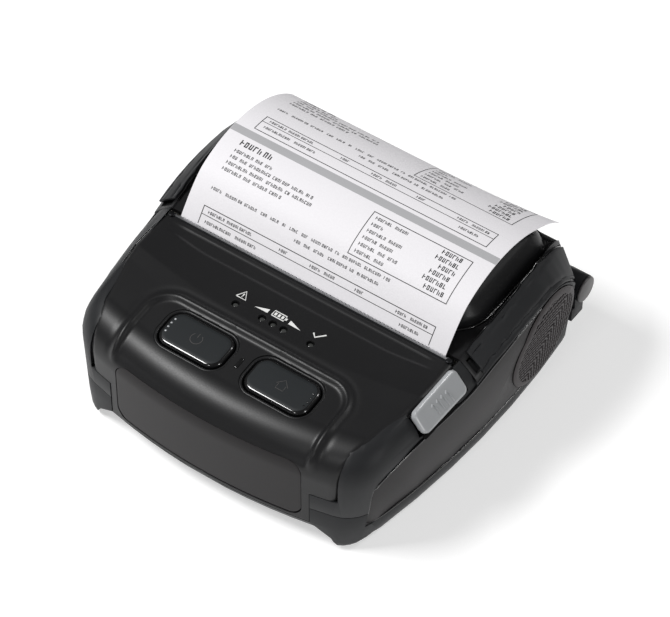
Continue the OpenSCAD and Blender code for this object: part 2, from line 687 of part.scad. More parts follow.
// The latch shaft turns in the bracket's foot and carries an arm at each end.
latch_y = head_pivot_y + 4.3;
latch_z = head_foot_z - 7.5;
latch_x0 = bracket_half_w + 1.2;
latch_x1 = latch_x0 + 1.2;
latch_lever = 10.5;
module latch_shaft() color("#b5b8bb")
  rod(-latch_x1, latch_x1, latch_y, latch_z, 1.5);
module latch_arms() color("#26272a") {
  arm_a = atan2(platen_z - latch_z, platen_y - latch_y);
  arm_l = norm([platen_y - latch_y, platen_z - latch_z]);
  both_sides() difference() {
    union() {
      rod(latch_x0, latch_x1, latch_y, latch_z, 3);
      translate([0, latch_y, latch_z]) rotate([arm_a, 0, 0])
        box(latch_x0, latch_x1, 0, arm_l - platen_shaft_d/2 - 0.2, -1.6, 3.4);
      translate([0, latch_y, latch_z]) rotate([arm_a, 0, 0])
        box(latch_x0, latch_x1, arm_l - 5, arm_l + 1.2, 0.8, 4.6);
    }
    rod(0, latch_x1 + 1, latch_y, latch_z, 1.5 + tiny);
    rod(0, latch_x1 + 1, platen_y, platen_z, platen_shaft_d/2 + 0.3);
  }
  difference() {
    union() {
      box(latch_x0, latch_x1 + 2.6, latch_y - latch_lever - 2, latch_y - latch_lever + 2, latch_z + 5,
          latch_z + 6.6);
      hull() {
        rod(latch_x0, latch_x1, latch_y, latch_z, 2.2);
        box(latch_x0, latch_x1, latch_y - latch_lever - 2, latch_y - latch_lever + 2, latch_z + 5,
            latch_z + 6.6);
      }
    }
    rod(0, latch_x1 + 1, latch_y, latch_z, 1.5 + tiny);
  }
}

// Plate, side skirt and a foot that presses the latch lever.
release_foot_x = latch_x0 + 2.9;
module release_button() color("#9a9c9b") {
  on_release() {
    translate([0, 0, 0.1]) linear_extrude(1.9)
      rounded_rect(-release_w/2, release_w/2, -release_l/2, release_l/2, 2);
    translate([0, 0, -1.6]) linear_extrude(1.9)
      rounded_rect(-release_w/2 + 0.8, release_w/2 - 0.8, -release_l/2 + 0.8, release_l/2 - 0.8, 1.5);
  }
  intersection() {
    box(release_foot_x - 1, release_foot_x + 2.2, latch_y - latch_lever - 1.5,
        latch_y - latch_lever + 1.5, latch_z + 6.9, over);
    on_release() translate([1 - release_w/2, -over, -over]) cube([40, 2*over, over + 0.5]);
  }
}
module release_spring() color("#c4c7ca") on_release() translate([-0.5, spring_y, -9.5]) difference() {
  cylinder(h = 5.4, r = 2);
  translate([0, 0, -1]) cylinder(h = 9, r = 1.4);
}

// The bay under the roll, with the guide that leads the paper up to the platen.
bay_r = roll_r + roll_gap;
bay_half_w = paper_w/2 + 0.8;
roll_c = [roll_y, roll_z];
guide_c = [nip_y, platen_z - 6];
web_a = let (v = guide_c - roll_c) atan2(v.y, v.x) + acos((roll_r + 0.1 + paper_t/2)/norm(v));
web_t = roll_c + (roll_r + 0.1 + paper_t/2)*[cos(web_a), sin(web_a)];
web_n = let (v = guide_c - web_t) [-v.y, v.x]/norm(v);
guide_drop = 0.5;
guide_t = 1.5;
bay_top = hinge_z + 10;
module roll_bay() color("#1f2022") {
  along_x(2*bay_half_w) polygon(concat(
    [for (k = [0:14]) let (a = web_a + 360*(k/14*0.36) + 8) roll_c + bay_r*[cos(a), sin(a)]],
    [for (k = [14:-1:0]) let (a = web_a + 360*(k/14*0.36) + 8) roll_c + (bay_r + bay_wall - 0.05)*[cos(a), sin(a)]]));
  along_x(2*bay_half_w) let (p = web_t + (guide_c - web_t)*0.12, q = web_t + (guide_c - web_t)*0.8)
    polygon([p + guide_drop*web_n, q + guide_drop*web_n, q + (guide_drop + guide_t)*web_n,
        p + (guide_drop + guide_t)*web_n]);
  both_sides() translate([bay_half_w + 0.2, 0, 0]) along_x(1.6) polygon([
    [platen_y + 2, platen_z - 11], [roll_y - 20, wall + 3], [roll_y - 6, wall + bay_seat_h],
    [roll_y + 14, wall + bay_seat_h], [roll_y + 17, case_seam_z], [rear_y - wall - 1.5, case_seam_z],
    [rear_y - wall - 1.5, bay_top - 4],
    [roll_y + 10, bay_top], [roll_y - 10, bay_top], [platen_y + 5, platen_z - 7]]);
}
module media_sensor() color("#17181a") let (p = web_t + (guide_c - web_t)*0.45 + (guide_drop + guide_t + 0.1)*web_n)
  translate([0, p.x, p.y]) rotate([atan2(web_n.y, web_n.x) + 90, 0, 0])
    translate([-6, -4, -3.5]) cube([12, 8, 3.5]);

module paper_roll() color("#f2f1ec") difference() {
  rod(-paper_w/2 + 0.2, paper_w/2 - 0.2, roll_y, roll_z, roll_r);
  rod(-over - 9, over + 9, roll_y, roll_z, core_od/2 + tiny);
}
module roll_core() color("#a98961") difference() {
  rod(-paper_w/2 + 0.2, paper_w/2 - 0.2, roll_y, roll_z, core_od/2);
  rod(-over - 9, over + 9, roll_y, roll_z, core_od/2 - 1.6);
}
module paper_web() color("#f2f1ec") along_x(paper_w)
  let (path = [web_t, web_t*0.5 + guide_c*0.5, guide_c, guide_c + [0, 4.6]])
    polygon(ribbon(path, paper_t));

module battery_pack() color("#3a3c40") difference() {
  battery_hole(0, 0.4, 0.4 + battery_h);
  box(battery_x - 12, battery_x + 12, battery_y + battery_d/2 - 3, battery_y + battery_d/2 + 1, 0, 2);
  for (x = [-6:4:6]) box(battery_x + x - 1, battery_x + x + 1, battery_y - 4, battery_y + 4,
      battery_h - 0.2, battery_h + 1);
}
module battery_terminals() color("#c9a34a") for (x = [-6:4:6])
  box(battery_x + x - 0.6, battery_x + x + 0.6, battery_y - 3, battery_y + 3, bay_top_z - 0.35, bay_top_z);

module hinge_pin() color("#b5b8bb") rod(-hinge_span, hinge_span, hinge_y, hinge_z, hinge_pin_d/2);
module hinge_end_caps() color("#6d6a69") both_sides() rod(hinge_span, hinge_span + 1.2, hinge_y, hinge_z,
    barrel_d/2 - 0.1);

module case_screws() color("#4a4b4d") at_screws() {
  translate([0, 0, 0.6]) cylinder(h = 1.55, r = 2.6);
  translate([0, 0, 2.1]) cylinder(h = 12, r = 1.25);
}

// The ports look out through the rear wall and share a soft cover.
module charge_jack() color("#1c1c1e") difference() {
  box(jack_x - 4.2, jack_x + 4.2, rear_y - wall - 8, rear_y - wall, port_z - 3.6, port_z + 3.6);
  translate([jack_x, 0, port_z]) rotate([-90, 0, 0]) cylinder(h = rear_y - wall + 1, r = 2.4);
  box(jack_x - 3, jack_x + 3, 0, rear_y - wall - 6, 0, over);
}
module data_socket() color("#b9bcbf") difference() {
  box(socket_x - 4.5, socket_x + 4.5, rear_y - wall - 6, rear_y - wall, port_z - 2, port_z + 2);
  box(socket_x - 3.9, socket_x + 3.9, rear_y - wall - 5, rear_y, port_z - 1.4, port_z + 1.4);
}
module port_cover() color("#242426")
  box(port_x - port_w/2 + joint_gap, port_x + port_w/2 - joint_gap, rear_y - 0.9, rear_y + 0.4,
      port_z - port_h/2 + joint_gap, port_z + port_h/2 - joint_gap);

// Cover surface: arms at the sides and a deck between them.
arm_w = 8.2;
arm_top_z = panel_h + 6.5;
arm_peak_y = rear_y - 18;
arm_arc_r = 173;
arm_rear_r = 12;
function arm_z(y) = min(
  arm_top_z - arm_arc_r + sqrt(arm_arc_r*arm_arc_r - pow(y - arm_peak_y, 2)),
  y > rear_y - arm_rear_r
    ? arm_top_z - arm_rear_r + sqrt(max(0, arm_rear_r*arm_rear_r - pow(y - rear_y + arm_rear_r, 2)))
    : over*9);
function deck_z(y) = min(arm_z(y), panel_h + 1.5) - 0.3;
cover_ys = concat([cover_front_y], [for (k = [1:7]) cover_front_y + (arm_peak_y - cover_front_y)*k/7],
                  [for (k = [1:7]) arm_peak_y + (rear_y - arm_peak_y)*sin(k*90/7)]);
function cover_section(y, t, drop) =
  let (w = half_w(y), s = seam_z(y))
  mirrored([[w - 0.8 - t, s - drop], [w - 1.9 - t, s + 1.4], [w - arm_w - 0.4*t, arm_z(y) - t],
            [w - arm_w - 0.6 - 0.4*t, deck_z(y) - 0.2 - t]]);
module cover_form(t, drop, y0, y1)
  let (ys = concat([y0], [for (y = cover_ys) if (y > y0 + 0.1 && y < y1 - 0.1) y], [y1]))
  loft([for (y = ys) let (s = cover_section(min(y, rear_y - 0.05), t, drop))
    [for (k = [len(s) - 1:-1:0]) [s[k].x, y, s[k].y]]]);

dome_y0 = cover_front_y + 7;
dome_y1 = rear_y - 3.2;
dome_z0 = dome_h - dome_r;
function dome_ring(i, z) =
  let (w = dome_w/2 - i, r = 15 - 0.6*i, b = 9 - 0.3*i)
  mirrored([for (p = concat(arc([w - r, dome_y0 + i + r], r, -90, 0, 6), arc([w - b,
      dome_y1 - i*0.6 - b], b, 0, 90, 4))) p]);
module dome_form(t) intersection() {
  loft([for (v = [[0, panel_h - 9], [0, panel_h + 2.6], [0.5, panel_h + 4.2], [1.8, panel_h + 6.2], [4.2,
      panel_h + 9],
                  [8, panel_h + 12], [13, panel_h + 14.4], [20, panel_h + 17]])
    [for (p = dome_ring(v[0] + t, 0)) [p.x, p.y, v[1] - t]]]);
  along_x(body_w) polygon(concat(
    [for (a = [30:6:150]) [roll_y, dome_z0] + (dome_r - t)*[cos(a), sin(a)]],
    [[roll_y - 39, 0], [roll_y + 39, 0]]));
}
module dome_plan(i) polygon([for (p = dome_ring(i, 0)) [p.x, p.y]]);

// A skin laid on the slope of an arm: how far it stands out, how deep it goes and how far it grows.
function arm_section(y, out, depth, grow) =
  let (c = cover_section(y, 0, 0), p = c[1], q = c[2], u = (q - p)/norm(q - p), n = [u.y, -u.x],
       a = p + u*(0.6 - grow), b = q - u*(2.2 - grow))
  [a + n*out, b + n*out, b - n*depth, a - n*depth];
arm_y0 = cover_front_y + 1.8;
arm_y1 = rear_y - 2.5;
module arm_skin(out, depth, grow)
  let (ys = concat([arm_y0 - grow], [for (y = cover_ys) if (y > arm_y0 + 0.5 && y < arm_y1 - 0.5) y],
      [arm_y1 + grow]))
  loft([for (y = ys) let (s = arm_section(y, out, depth, grow)) [for (k = [3:-1:0]) [s[k].x, y, s[k].y]]]);

module cover_hinges() color("#1d1e20") both_sides() difference() {
  union() {
    rod(hinge_span - 22, hinge_span - knuckle_w - joint_gap, hinge_y, hinge_z, barrel_d/2);
    box(hinge_span - 22, hinge_span - knuckle_w - joint_gap, rear_y + 0.1, rear_y + 3.4, hinge_z,
        seam_z(rear_y - wall) + 6);
  }
  rod(0, hinge_span, hinge_y, hinge_z, hinge_pin_d/2 + run_fit);
}

module cover_shell() color("#242425") {
  difference() {
    cover_form(0, 0, cover_front_y, rear_y);
    cover_form(wall, 9, cover_front_y + 1.7, rear_y - wall);
    translate([0, 0, seam_z(rear_y)]) linear_extrude(over) dome_plan(1.6);
    both_sides() arm_skin(2, skin_recess, joint_gap);
    rod(gear_x - gear_w/2 - 0.4, -gear_x + gear_w/2 + 0.4, platen_y, platen_z, platen_r + 0.9);
  }
}

module cover_dome() color("#2a2a2a") difference() {
  dome_form(0);
  dome_form(2);
  translate([0, 0, 0.03]) cover_form(0, 9, cover_front_y - 3, rear_y + 3);
}

module dome_bead() color("#151516") difference() {
  translate([0, 0, panel_h - 2]) linear_extrude(over) dome_plan(-0.9);
  translate([0, 0, panel_h - 3]) linear_extrude(over + 5) dome_plan(-0.1);
  translate([0, 0, 0.03]) cover_form(0, 9, cover_front_y - 3, rear_y + 3);
  difference() {
    box(-body_w, body_w, cover_front_y - 5, rear_y + 9, 0, 3*over);
    translate([0, 0, 1.2]) cover_form(0, 30, cover_front_y - 3, rear_y + 3);
  }
}

module arm_inlay(s) color("#323437") mirror([s < 0 ? 1 : 0, 0, 0]) arm_skin(0.1, skin_t, 0);
module arm_inlay_left() arm_inlay(-1);
module arm_inlay_right() arm_inlay(1);

cheek_x0 = bracket_half_w - 0.4;
cheek_x1 = latch_x0 - 0.4;
bush_r = platen_shaft_d/2 + 1.4;
module platen_cheeks() color("#1d1e20") both_sides() difference() {
  union() {
    rod(cheek_x0, cheek_x1, platen_y, platen_z, bush_r + 1.6);
    box(cheek_x0, cheek_x1, platen_y, platen_y + 11, platen_z - 1, panel_h - wall - 0.25);
  }
  rod(cheek_x0 - 1, cheek_x1 + 1, platen_y, platen_z, bush_r);
}

module platen_bushes() color("#d8cfa8") both_sides() difference() {
  rod(cheek_x0, cheek_x1, platen_y, platen_z, bush_r);
  rod(0, over + 9, platen_y, platen_z, platen_shaft_d/2 + run_fit);
}
module platen_roller() color("#2b2b2b") difference() {
  rod(-paper_w/2, paper_w/2, platen_y, platen_z, platen_r);
  rod(-over, over, platen_y, platen_z, platen_shaft_d/2 + tiny);
}
module platen_shaft() color("#c6c9cc")
  rod(gear_x - gear_w/2, latch_x1 + 0.4, platen_y, platen_z, platen_shaft_d/2);

// The printed strip runs up from the nip and over the dome.
strip_c = [roll_y - 1.5, dome_z0 + 3];
strip_end_a = 43.4;
strip_start_a = 117;
exit_p = [cover_front_y - 1.1, panel_h - 0.3];
strip_join = strip_c + strip_r*[cos(strip_start_a), sin(strip_start_a)];
strip_ctrl = strip_join - 5.8*[sin(strip_start_a), -cos(strip_start_a)];
function bezier(a, b, c, t) = (1 - t)*(1 - t)*a + 2*t*(1 - t)*b + t*t*c;
function strip_path() = concat(
  [[nip_y, platen_z - 1], [nip_y, platen_z + 3]],
  [for (k = [0:6]) bezier(exit_p, strip_ctrl, strip_join, k/6)],
  [for (k = [1:14]) let (a = strip_start_a + (strip_end_a - strip_start_a)*k/14) strip_c + strip_r*[cos(a), sin(a)]]);
function sided(path, d) = [for (k = [0:len(path) - 1])
  let (a = path[max(k - 1, 0)], b = path[min(k + 1, len(path) - 1)], v = (b - a)/norm(b - a))
  path[k] + d*[-v.y, v.x]];
function ribbon(path, t) =
  let (down = sided(path, -t/2)) concat(sided(path, t/2), [for (k = [len(path) - 1:-1:0]) down[k]]);
module label_strip() color("#e8e6e6") along_x(paper_w) polygon(ribbon(strip_path(), paper_t));

lower_case();
upper_case();
operator_panel();
front_cover_plate();
side_panel_left();
side_panel_right();
grip_pad_left();
grip_pad_right();
light_pipes();
power_button();
feed_button();
button_board();
tact_switches();
indicator_leds();
main_board();
board_parts();
tear_bar();
tear_bar_screws();
print_head();
head_heatsink();
head_bracket();
head_springs();
gear_plate();
stepper_motor();
motor_pinion();
idler_gear();
latch_shaft();
latch_arms();
release_button();
release_spring();
roll_bay();
media_sensor();
paper_roll();
roll_core();
paper_web();
battery_pack();
battery_terminals();
hinge_pin();
hinge_end_caps();
case_screws();
charge_jack();
data_socket();
port_cover();
cover_shell();
cover_hinges();
cover_dome();
arm_inlay_left();
arm_inlay_right();
dome_bead();
platen_cheeks();
platen_bushes();
platen_roller();
platen_shaft();
platen_gear();
label_strip();
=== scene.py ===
"""Dressed model of a portable label printer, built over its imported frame.

Lengths are written in millimetres and turned into metres where a mesh is made.
X runs to the right, Y from the button end back to the hinge, and Z up.
"""
from __future__ import annotations

import json
import logging
import math
from contextlib import contextmanager
from dataclasses import dataclass, field
from enum import Enum
from typing import Callable, Iterator, Sequence

import bmesh
import bpy
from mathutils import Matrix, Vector
from mathutils.bvhtree import BVHTree

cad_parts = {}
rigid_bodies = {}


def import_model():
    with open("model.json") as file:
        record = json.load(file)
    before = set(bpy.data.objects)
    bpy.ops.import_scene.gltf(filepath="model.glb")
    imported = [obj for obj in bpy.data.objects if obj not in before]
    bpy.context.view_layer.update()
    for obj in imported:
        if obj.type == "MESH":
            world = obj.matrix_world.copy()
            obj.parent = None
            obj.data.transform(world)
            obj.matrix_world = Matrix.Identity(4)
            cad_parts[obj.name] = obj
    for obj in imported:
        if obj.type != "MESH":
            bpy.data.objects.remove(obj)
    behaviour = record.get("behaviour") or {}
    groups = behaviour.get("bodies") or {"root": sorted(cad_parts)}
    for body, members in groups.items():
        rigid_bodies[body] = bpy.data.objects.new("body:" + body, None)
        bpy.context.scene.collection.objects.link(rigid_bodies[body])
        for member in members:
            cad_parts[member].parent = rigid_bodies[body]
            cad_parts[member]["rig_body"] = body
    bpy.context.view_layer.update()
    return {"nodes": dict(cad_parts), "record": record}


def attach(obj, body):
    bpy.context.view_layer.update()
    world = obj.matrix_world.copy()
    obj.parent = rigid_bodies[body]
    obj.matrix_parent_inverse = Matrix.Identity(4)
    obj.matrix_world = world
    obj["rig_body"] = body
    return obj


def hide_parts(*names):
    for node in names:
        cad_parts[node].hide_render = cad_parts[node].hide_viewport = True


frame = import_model()

LOG = logging.getLogger("printer")
MM = 0.001
# Points of one sheet closer than this, in millimetres, are one.
MERGE = 0.002
# The same for rings and sections, whose points lie closer.
FINE_MERGE = 0.0005
UP = Vector((0, 0, 1))
SIDES = ((-1, "left"), (1, "right"))
Point = tuple[float, float]
Place = tuple[float, float, float]
Colour = tuple[float, float, float, float]


# Small tools


def deselect() -> None:
    """Leaves nothing selected, because operators act on all that is."""
    for obj in bpy.context.selected_objects:
        obj.select_set(False)


def activate(obj: bpy.types.Object) -> None:
    """Selects one object alone and makes it active.

    Args:
        obj: the object.
    """
    deselect()
    obj.select_set(True)
    bpy.context.view_layer.objects.active = obj


def link(obj: bpy.types.Object) -> bpy.types.Object:
    """Puts a new object into the scene and hands it back."""
    bpy.context.scene.collection.objects.link(obj)
    return obj


@contextmanager
def editing(obj: bpy.types.Object) -> Iterator[bmesh.types.BMesh]:
    """Opens a piece's mesh for editing and writes it back after that.

    Args:
        obj: the piece.

    Yields:
        The open mesh.
    """
    mesh = bmesh.new()
    mesh.from_mesh(obj.data)
    yield mesh
    mesh.to_mesh(obj.data)
    mesh.free()


def modifier(obj: bpy.types.Object, kind: str, **values: object) -> None:
    """Adds a modifier with its settings and applies it.

    Args:
        obj: the piece.
        kind: Blender's modifier type.
        **values: settings by their attribute names.
    """
    activate(obj)
    mod = obj.modifiers.new(kind.lower(), kind)
    for key, value in values.items():
        setattr(mod, key, value)
    bpy.ops.object.modifier_apply(modifier=mod.name)


def soften(obj: bpy.types.Object, width: float, segments: int, angle: float) -> None:
    """Rounds a piece's hard edges.

    Args:
        obj: the piece.
        width: the radius of the rounding in millimetres.
        segments: how many faces it gets.
        angle: the least angle between faces that counts as an edge.
    """
    modifier(obj, "BEVEL", width=width * MM, segments=segments, limit_method="ANGLE",
             angle_limit=math.radians(angle), harden_normals=False)


def tidy(obj: bpy.types.Object, distance: float = MERGE) -> None:
    """Merges doubled vertices and turns all faces outwards.

    Args:
        obj: the piece.
        distance: how close doubles lie, in millimetres.
    """
    with editing(obj) as mesh:
        bmesh.ops.remove_doubles(mesh, verts=mesh.verts, dist=distance * MM)
        bmesh.ops.recalc_face_normals(mesh, faces=mesh.faces)


def raw_mesh(name: str, points: Sequence[Place], faces: Sequence[Sequence[int]]) -> bpy.types.Object:
    """Makes a mesh from points in millimetres.

    Args:
        name: the piece's name.
        points: vertex places.
        faces: vertex numbers of each face.

    Returns:
        The new object, at the origin.
    """
    data = bpy.data.meshes.new(name)
    data.from_pydata([[c * MM for c in p] for p in points], [], [list(f) for f in faces])
    return link(bpy.data.objects.new(name, data))


def quads(rows: int, columns: int, closed: bool = False) -> list[list[int]]:
    """Faces of a net of points that is given row by row.

    Args:
        rows: how many rows there are.
        columns: how many points each row has.
        closed: whether each row's last point meets its first.

    Returns:
        Four vertex numbers for each face.
    """
    faces = []
    for row in range(rows - 1):
        for k in range(columns - (not closed)):
            a, b = row * columns + k, row * columns + (k + 1) % columns
            faces.append([a, b, b + columns, a + columns])
    return faces


def grid(name: str, across: int, along: int, surface: Callable[[float, float], Place],
         thickness: float = 0.0) -> bpy.types.Object:
    """Shapes a grid primitive into a curved skin and gives it a wall.

    Args:
        name: the piece's name.
        across: faces along u.
        along: faces along v.
        surface: place in millimetres for u and v from 0 to 1.
        thickness: wall in millimetres, laid behind the surface.

    Returns:
        The skin, its faces pointing the way that u and v give.
    """
    deselect()
    bpy.ops.mesh.primitive_grid_add(x_subdivisions=across, y_subdivisions=along, size=1)
    obj = bpy.context.object
    obj.name = obj.data.name = name
    for vert in obj.data.vertices:
        vert.co = Vector(surface(vert.co.x + 0.5, vert.co.y + 0.5)) * MM
    if thickness:
        modifier(obj, "SOLIDIFY", thickness=thickness * MM, offset=-1.0, use_even_offset=True)
    return obj


def stack(name: str, rings: Sequence[Sequence[Place]], capped: bool = True) -> bpy.types.Object:
    """Skins a stack of rings.

    Args:
        name: the piece's name.
        rings: places in millimetres, as many in each ring.
        capped: whether the first and the last ring are closed with a face.

    Returns:
        The skin.
    """
    count = len(rings[0])
    faces = quads(len(rings), count, True)
    if capped:
        faces.append(list(range(count - 1, -1, -1)))
        faces.append([(len(rings) - 1) * count + k for k in range(count)])
    obj = raw_mesh(name, [p for ring in rings for p in ring], faces)
    tidy(obj, FINE_MERGE)
    return obj


def prism(name: str, outline: Sequence[Place], step: Place) -> bpy.types.Object:
    """Extrudes a flat outline by a step."""
    far = [(p[0] + step[0], p[1] + step[1], p[2] + step[2]) for p in outline]
    return stack(name, [outline, far])


def sweep(name: str, path: Sequence[Place], section: Sequence[Point], up: Vector = UP,
          closed: bool = False) -> bpy.types.Object:
    """Carries a closed section along a path.

    Args:
        name: the piece's name.
        path: places in millimetres.
        section: points as (sideways, up) in millimetres.
        up: the section's up direction.
        closed: whether the path joins its own start.

    Returns:
        The swept solid.
    """
    total = len(path)
    rings = []
    for k in range(total):
        before = Vector(path[(k - 1) % total] if closed else path[max(k - 1, 0)])
        after = Vector(path[(k + 1) % total] if closed else path[min(k + 1, total - 1)])
        ahead = (after - before).normalized()
        side = ahead.cross(up).normalized()
        rise = side.cross(ahead)
        rings.append([tuple(Vector(path[k]) + side * s + rise * r) for s, r in section])
    if closed:
        rings.append(rings[0])
    return stack(name, rings, capped=not closed)


def cut(obj: bpy.types.Object, tool: bpy.types.Object) -> None:
    """Cuts a solid with another one and removes the tool."""
    modifier(obj, "BOOLEAN", object=tool, operation="DIFFERENCE", solver="EXACT")
    bpy.data.objects.remove(tool, do_unlink=True)


def block(name: str, low: Place, high: Place) -> bpy.types.Object:
    """A plain block.

    Args:
        name: its name.
        low: its lowest corner.
        high: its highest corner.

    Returns:
        The block.
    """
    deselect()
    bpy.ops.mesh.primitive_cube_add(size=1)
    obj = bpy.context.object
    obj.name = name
    size = [h - l for l, h in zip(low, high)]
    for vert in obj.data.vertices:
        vert.co = Vector([(l + (c + 0.5) * s) * MM for l, s, c in zip(low, size, vert.co)])
    return obj


def join(name: str, parts: Sequence[bpy.types.Object]) -> bpy.types.Object:
    """Joins meshes into one piece.

    Args:
        name: the piece's name.
        parts: its meshes.

    Returns:
        The piece.
    """
    activate(parts[0])
    for part in parts:
        part.select_set(True)
    bpy.ops.object.join()
    obj = bpy.context.object
    obj.name = obj.data.name = name
    return obj


def rounded(width: float, depth: float, radius: float, steps: int = 8) -> list[Point]:
    """Outline of a rounded rectangle about the origin, anticlockwise.

    Args:
        width: its size along x.
        depth: its size along y.
        radius: radius of its corners.
        steps: how many lines a corner has.

    Returns:
        The outline's points.
    """
    points = []
    for k, (sx, sy) in enumerate([(1, -1), (1, 1), (-1, 1), (-1, -1)]):
        centre = (sx * (width / 2 - radius), sy * (depth / 2 - radius))
        for j in range(steps + 1):
            angle = math.radians(-90 + 90 * k + 90 * j / steps)
            points.append((centre[0] + radius * math.cos(angle), centre[1] + radius * math.sin(angle)))
    return points


def circle(centre: Point, radius: float, steps: int = 24) -> list[Point]:
    """Outline of a circle, anticlockwise."""
    turns = [2 * math.pi * k / steps for k in range(steps)]
    return [(centre[0] + radius * math.cos(t), centre[1] + radius * math.sin(t)) for t in turns]


def tube(radius: float, squash: float = 1.0) -> list[Point]:
    """Round section for a sweep, of ten sides."""
    return [(x, y * squash) for x, y in circle((0, 0), radius, 10)]


def outside_rounded(x: float, y: float, width: float, depth: float, radius: float) -> float:
    """Distance of a point outside a rounded rectangle about the origin, negative inside."""
    qx, qy = abs(x) - width / 2 + radius, abs(y) - depth / 2 + radius
    return math.hypot(max(qx, 0), max(qy, 0)) + min(max(qx, qy), 0) - radius


def ramp(value: float, low: float, high: float) -> float:
    """Eases from 0 at low to 1 at high."""
    t = min(max((value - low) / (high - low), 0.0), 1.0)
    return t * t * (3 - 2 * t)


def hump(value: float, width: float) -> float:
    """A soft hump of height 1 about zero."""
    return math.exp(-(value / width) ** 2)


def lookup(value: float, table: Sequence[Point]) -> float:
    """Reads a table with straight lines between its rows.

    Args:
        value: the key to look up.
        table: pairs of key and value, in rising order.

    Returns:
        The value, or the nearest end's outside the table.
    """
    if value <= table[0][0]:
        return table[0][1]
    for (x0, y0), (x1, y1) in zip(table, table[1:]):
        if value <= x1:
            return y0 + (y1 - y0) * (value - x0) / (x1 - x0)
    return table[-1][1]


def running_lengths(points: Sequence[Sequence[float]]) -> list[float]:
    """Distance along a path at each of its points.

    Args:
        points: the path.

    Returns:
        The distances, from 0 on.
    """
    lengths = [0.0]
    for p, q in zip(points, points[1:]):
        lengths.append(lengths[-1] + math.dist(p, q))
    return lengths


def stretch_at(lengths: Sequence[float], want: float) -> tuple[int, float]:
    """Finds a distance along a path.

    Args:
        lengths: what running_lengths gives.
        want: the distance.

    Returns:
        The number of the stretch that it falls in, and how far along it, from 0 to 1.
    """
    k = 0
    while k < len(lengths) - 2 and lengths[k + 1] < want:
        k += 1
    return k, (want - lengths[k]) / max(lengths[k + 1] - lengths[k], 1e-6)


# Finishes


def linear(code: str, shade: float = 1.0) -> Colour:
    """Turns an sRGB hex colour into the linear values that a shader takes.

    Args:
        code: the colour, as in #a0b1c2.
        shade: how much lighter or darker it is made.

    Returns:
        Red, green, blue and alpha.
    """
    parts = [int(code[k:k + 2], 16) / 255 for k in (1, 3, 5)]
    out = [c / 12.92 if c <= 0.04045 else ((c + 0.055) / 1.055) ** 2.4 for c in parts]
    return (out[0] * shade, out[1] * shade, out[2] * shade, 1.0)


def add_node(tree: bpy.types.NodeTree, kind: str, values: dict[str, object] | None = None,
             links: dict[str, bpy.types.NodeSocket] | None = None, **settings: object) -> bpy.types.Node:
    """Adds a shader node.

    Args:
        tree: the material's node tree.
        kind: Blender's node type.
        values: socket values by name or number.
        links: sockets to feed, by name or number.
        **settings: the node's own attributes.

    Returns:
        The node.
    """
    node = tree.nodes.new(kind)
    for key, value in settings.items():
        setattr(node, key, value)
    for key, value in (values or {}).items():
        node.inputs[key].default_value = value
    for key, source in (links or {}).items():
        tree.links.new(source, node.inputs[key])
    return node


def new_material(name: str) -> tuple[bpy.types.Material, bpy.types.NodeTree]:
    """Starts an empty node material.

    Args:
        name: what the real material is.

    Returns:
        The material and its node tree.
    """
    material = bpy.data.materials.new(name)
    material.use_nodes = True
    material.node_tree.nodes.clear()
    return material, material.node_tree


def patterned(name: str, fine: Point, broad: Point, colours: tuple[Colour, Colour], rough: Point,
              bump: Point, shader: dict[str, float], stretch: Place = (1.0, 1.0, 1.0)) -> bpy.types.Material:
    """Builds a finish once and hands out the same one after that.

    Args:
        name: the material's name.
        fine: cell in millimetres and detail of the noise that roughens and lifts the surface.
        broad: the same for the noise that tints it.
        colours: what the tint runs between.
        rough: least and greatest roughness.
        bump: the bump's strength, and its height in millimetres.
        shader: values of the shader's own sockets.
        stretch: scale of the patterns along each axis.

    Returns:
        The material.
    """
    if name in bpy.data.materials:
        return bpy.data.materials[name]
    material, tree = new_material(name)
    spot = add_node(tree, "ShaderNodeTexCoord").outputs["Object"]
    drawn = add_node(tree, "ShaderNodeMapping", {"Scale": stretch}, {"Vector": spot}).outputs[0]
    # A metre holds 1000 / cell cells of a noise.
    grain, cloud = [add_node(tree, "ShaderNodeTexNoise", {"Scale": 1000 / cell, "Detail": detail},
                             {"Vector": drawn}).outputs[0] for cell, detail in (fine, broad)]
    tint = add_node(tree, "ShaderNodeMix", {6: colours[0], 7: colours[1]}, {0: cloud}, data_type="RGBA")
    gloss = add_node(tree, "ShaderNodeMapRange", {"To Min": rough[0], "To Max": rough[1]}, {"Value": grain})
    relief = add_node(tree, "ShaderNodeBump", {"Strength": bump[0], "Distance": bump[1] * MM},
                      {"Height": grain})
    principled = add_node(tree, "ShaderNodeBsdfPrincipled", shader,
                          {"Base Color": tint.outputs[2], "Roughness": gloss.outputs[0],
                           "Normal": relief.outputs[0]})
    add_node(tree, "ShaderNodeOutputMaterial", links={"Surface": principled.outputs[0]})
    return material


@dataclass(frozen=True)
class Moulding:
    """Injection-moulded plastic or rubber with a spark-eroded grain from its mould.

    The grain scatters the light of a lamp into a soft, slightly grainy patch.
    """

    name: str
    colour: str
    roughness: float = 0.45
    grain: float = 0.35
    depth: float = 0.02
    mottle: float = 0.12
    specular: float = 0.5
    coat: float = 0.0
    coat_roughness: float = 0.1
    cloud: float = 14.0

    def material(self) -> bpy.types.Material:
        """Hands out the finish, built at its first use.

        Returns:
            The material.
        """
        values = {"IOR": 1.5, "Specular IOR Level": self.specular, "Coat Weight": self.coat,
                  "Coat Roughness": self.coat_roughness}
        return patterned(self.name, (self.grain, 2.0), (self.cloud, 3.0),
                         (linear(self.colour, 1 - self.mottle), linear(self.colour, 1 + self.mottle)),
                         (self.roughness - 0.05, self.roughness + 0.07), (0.5, self.depth), values)


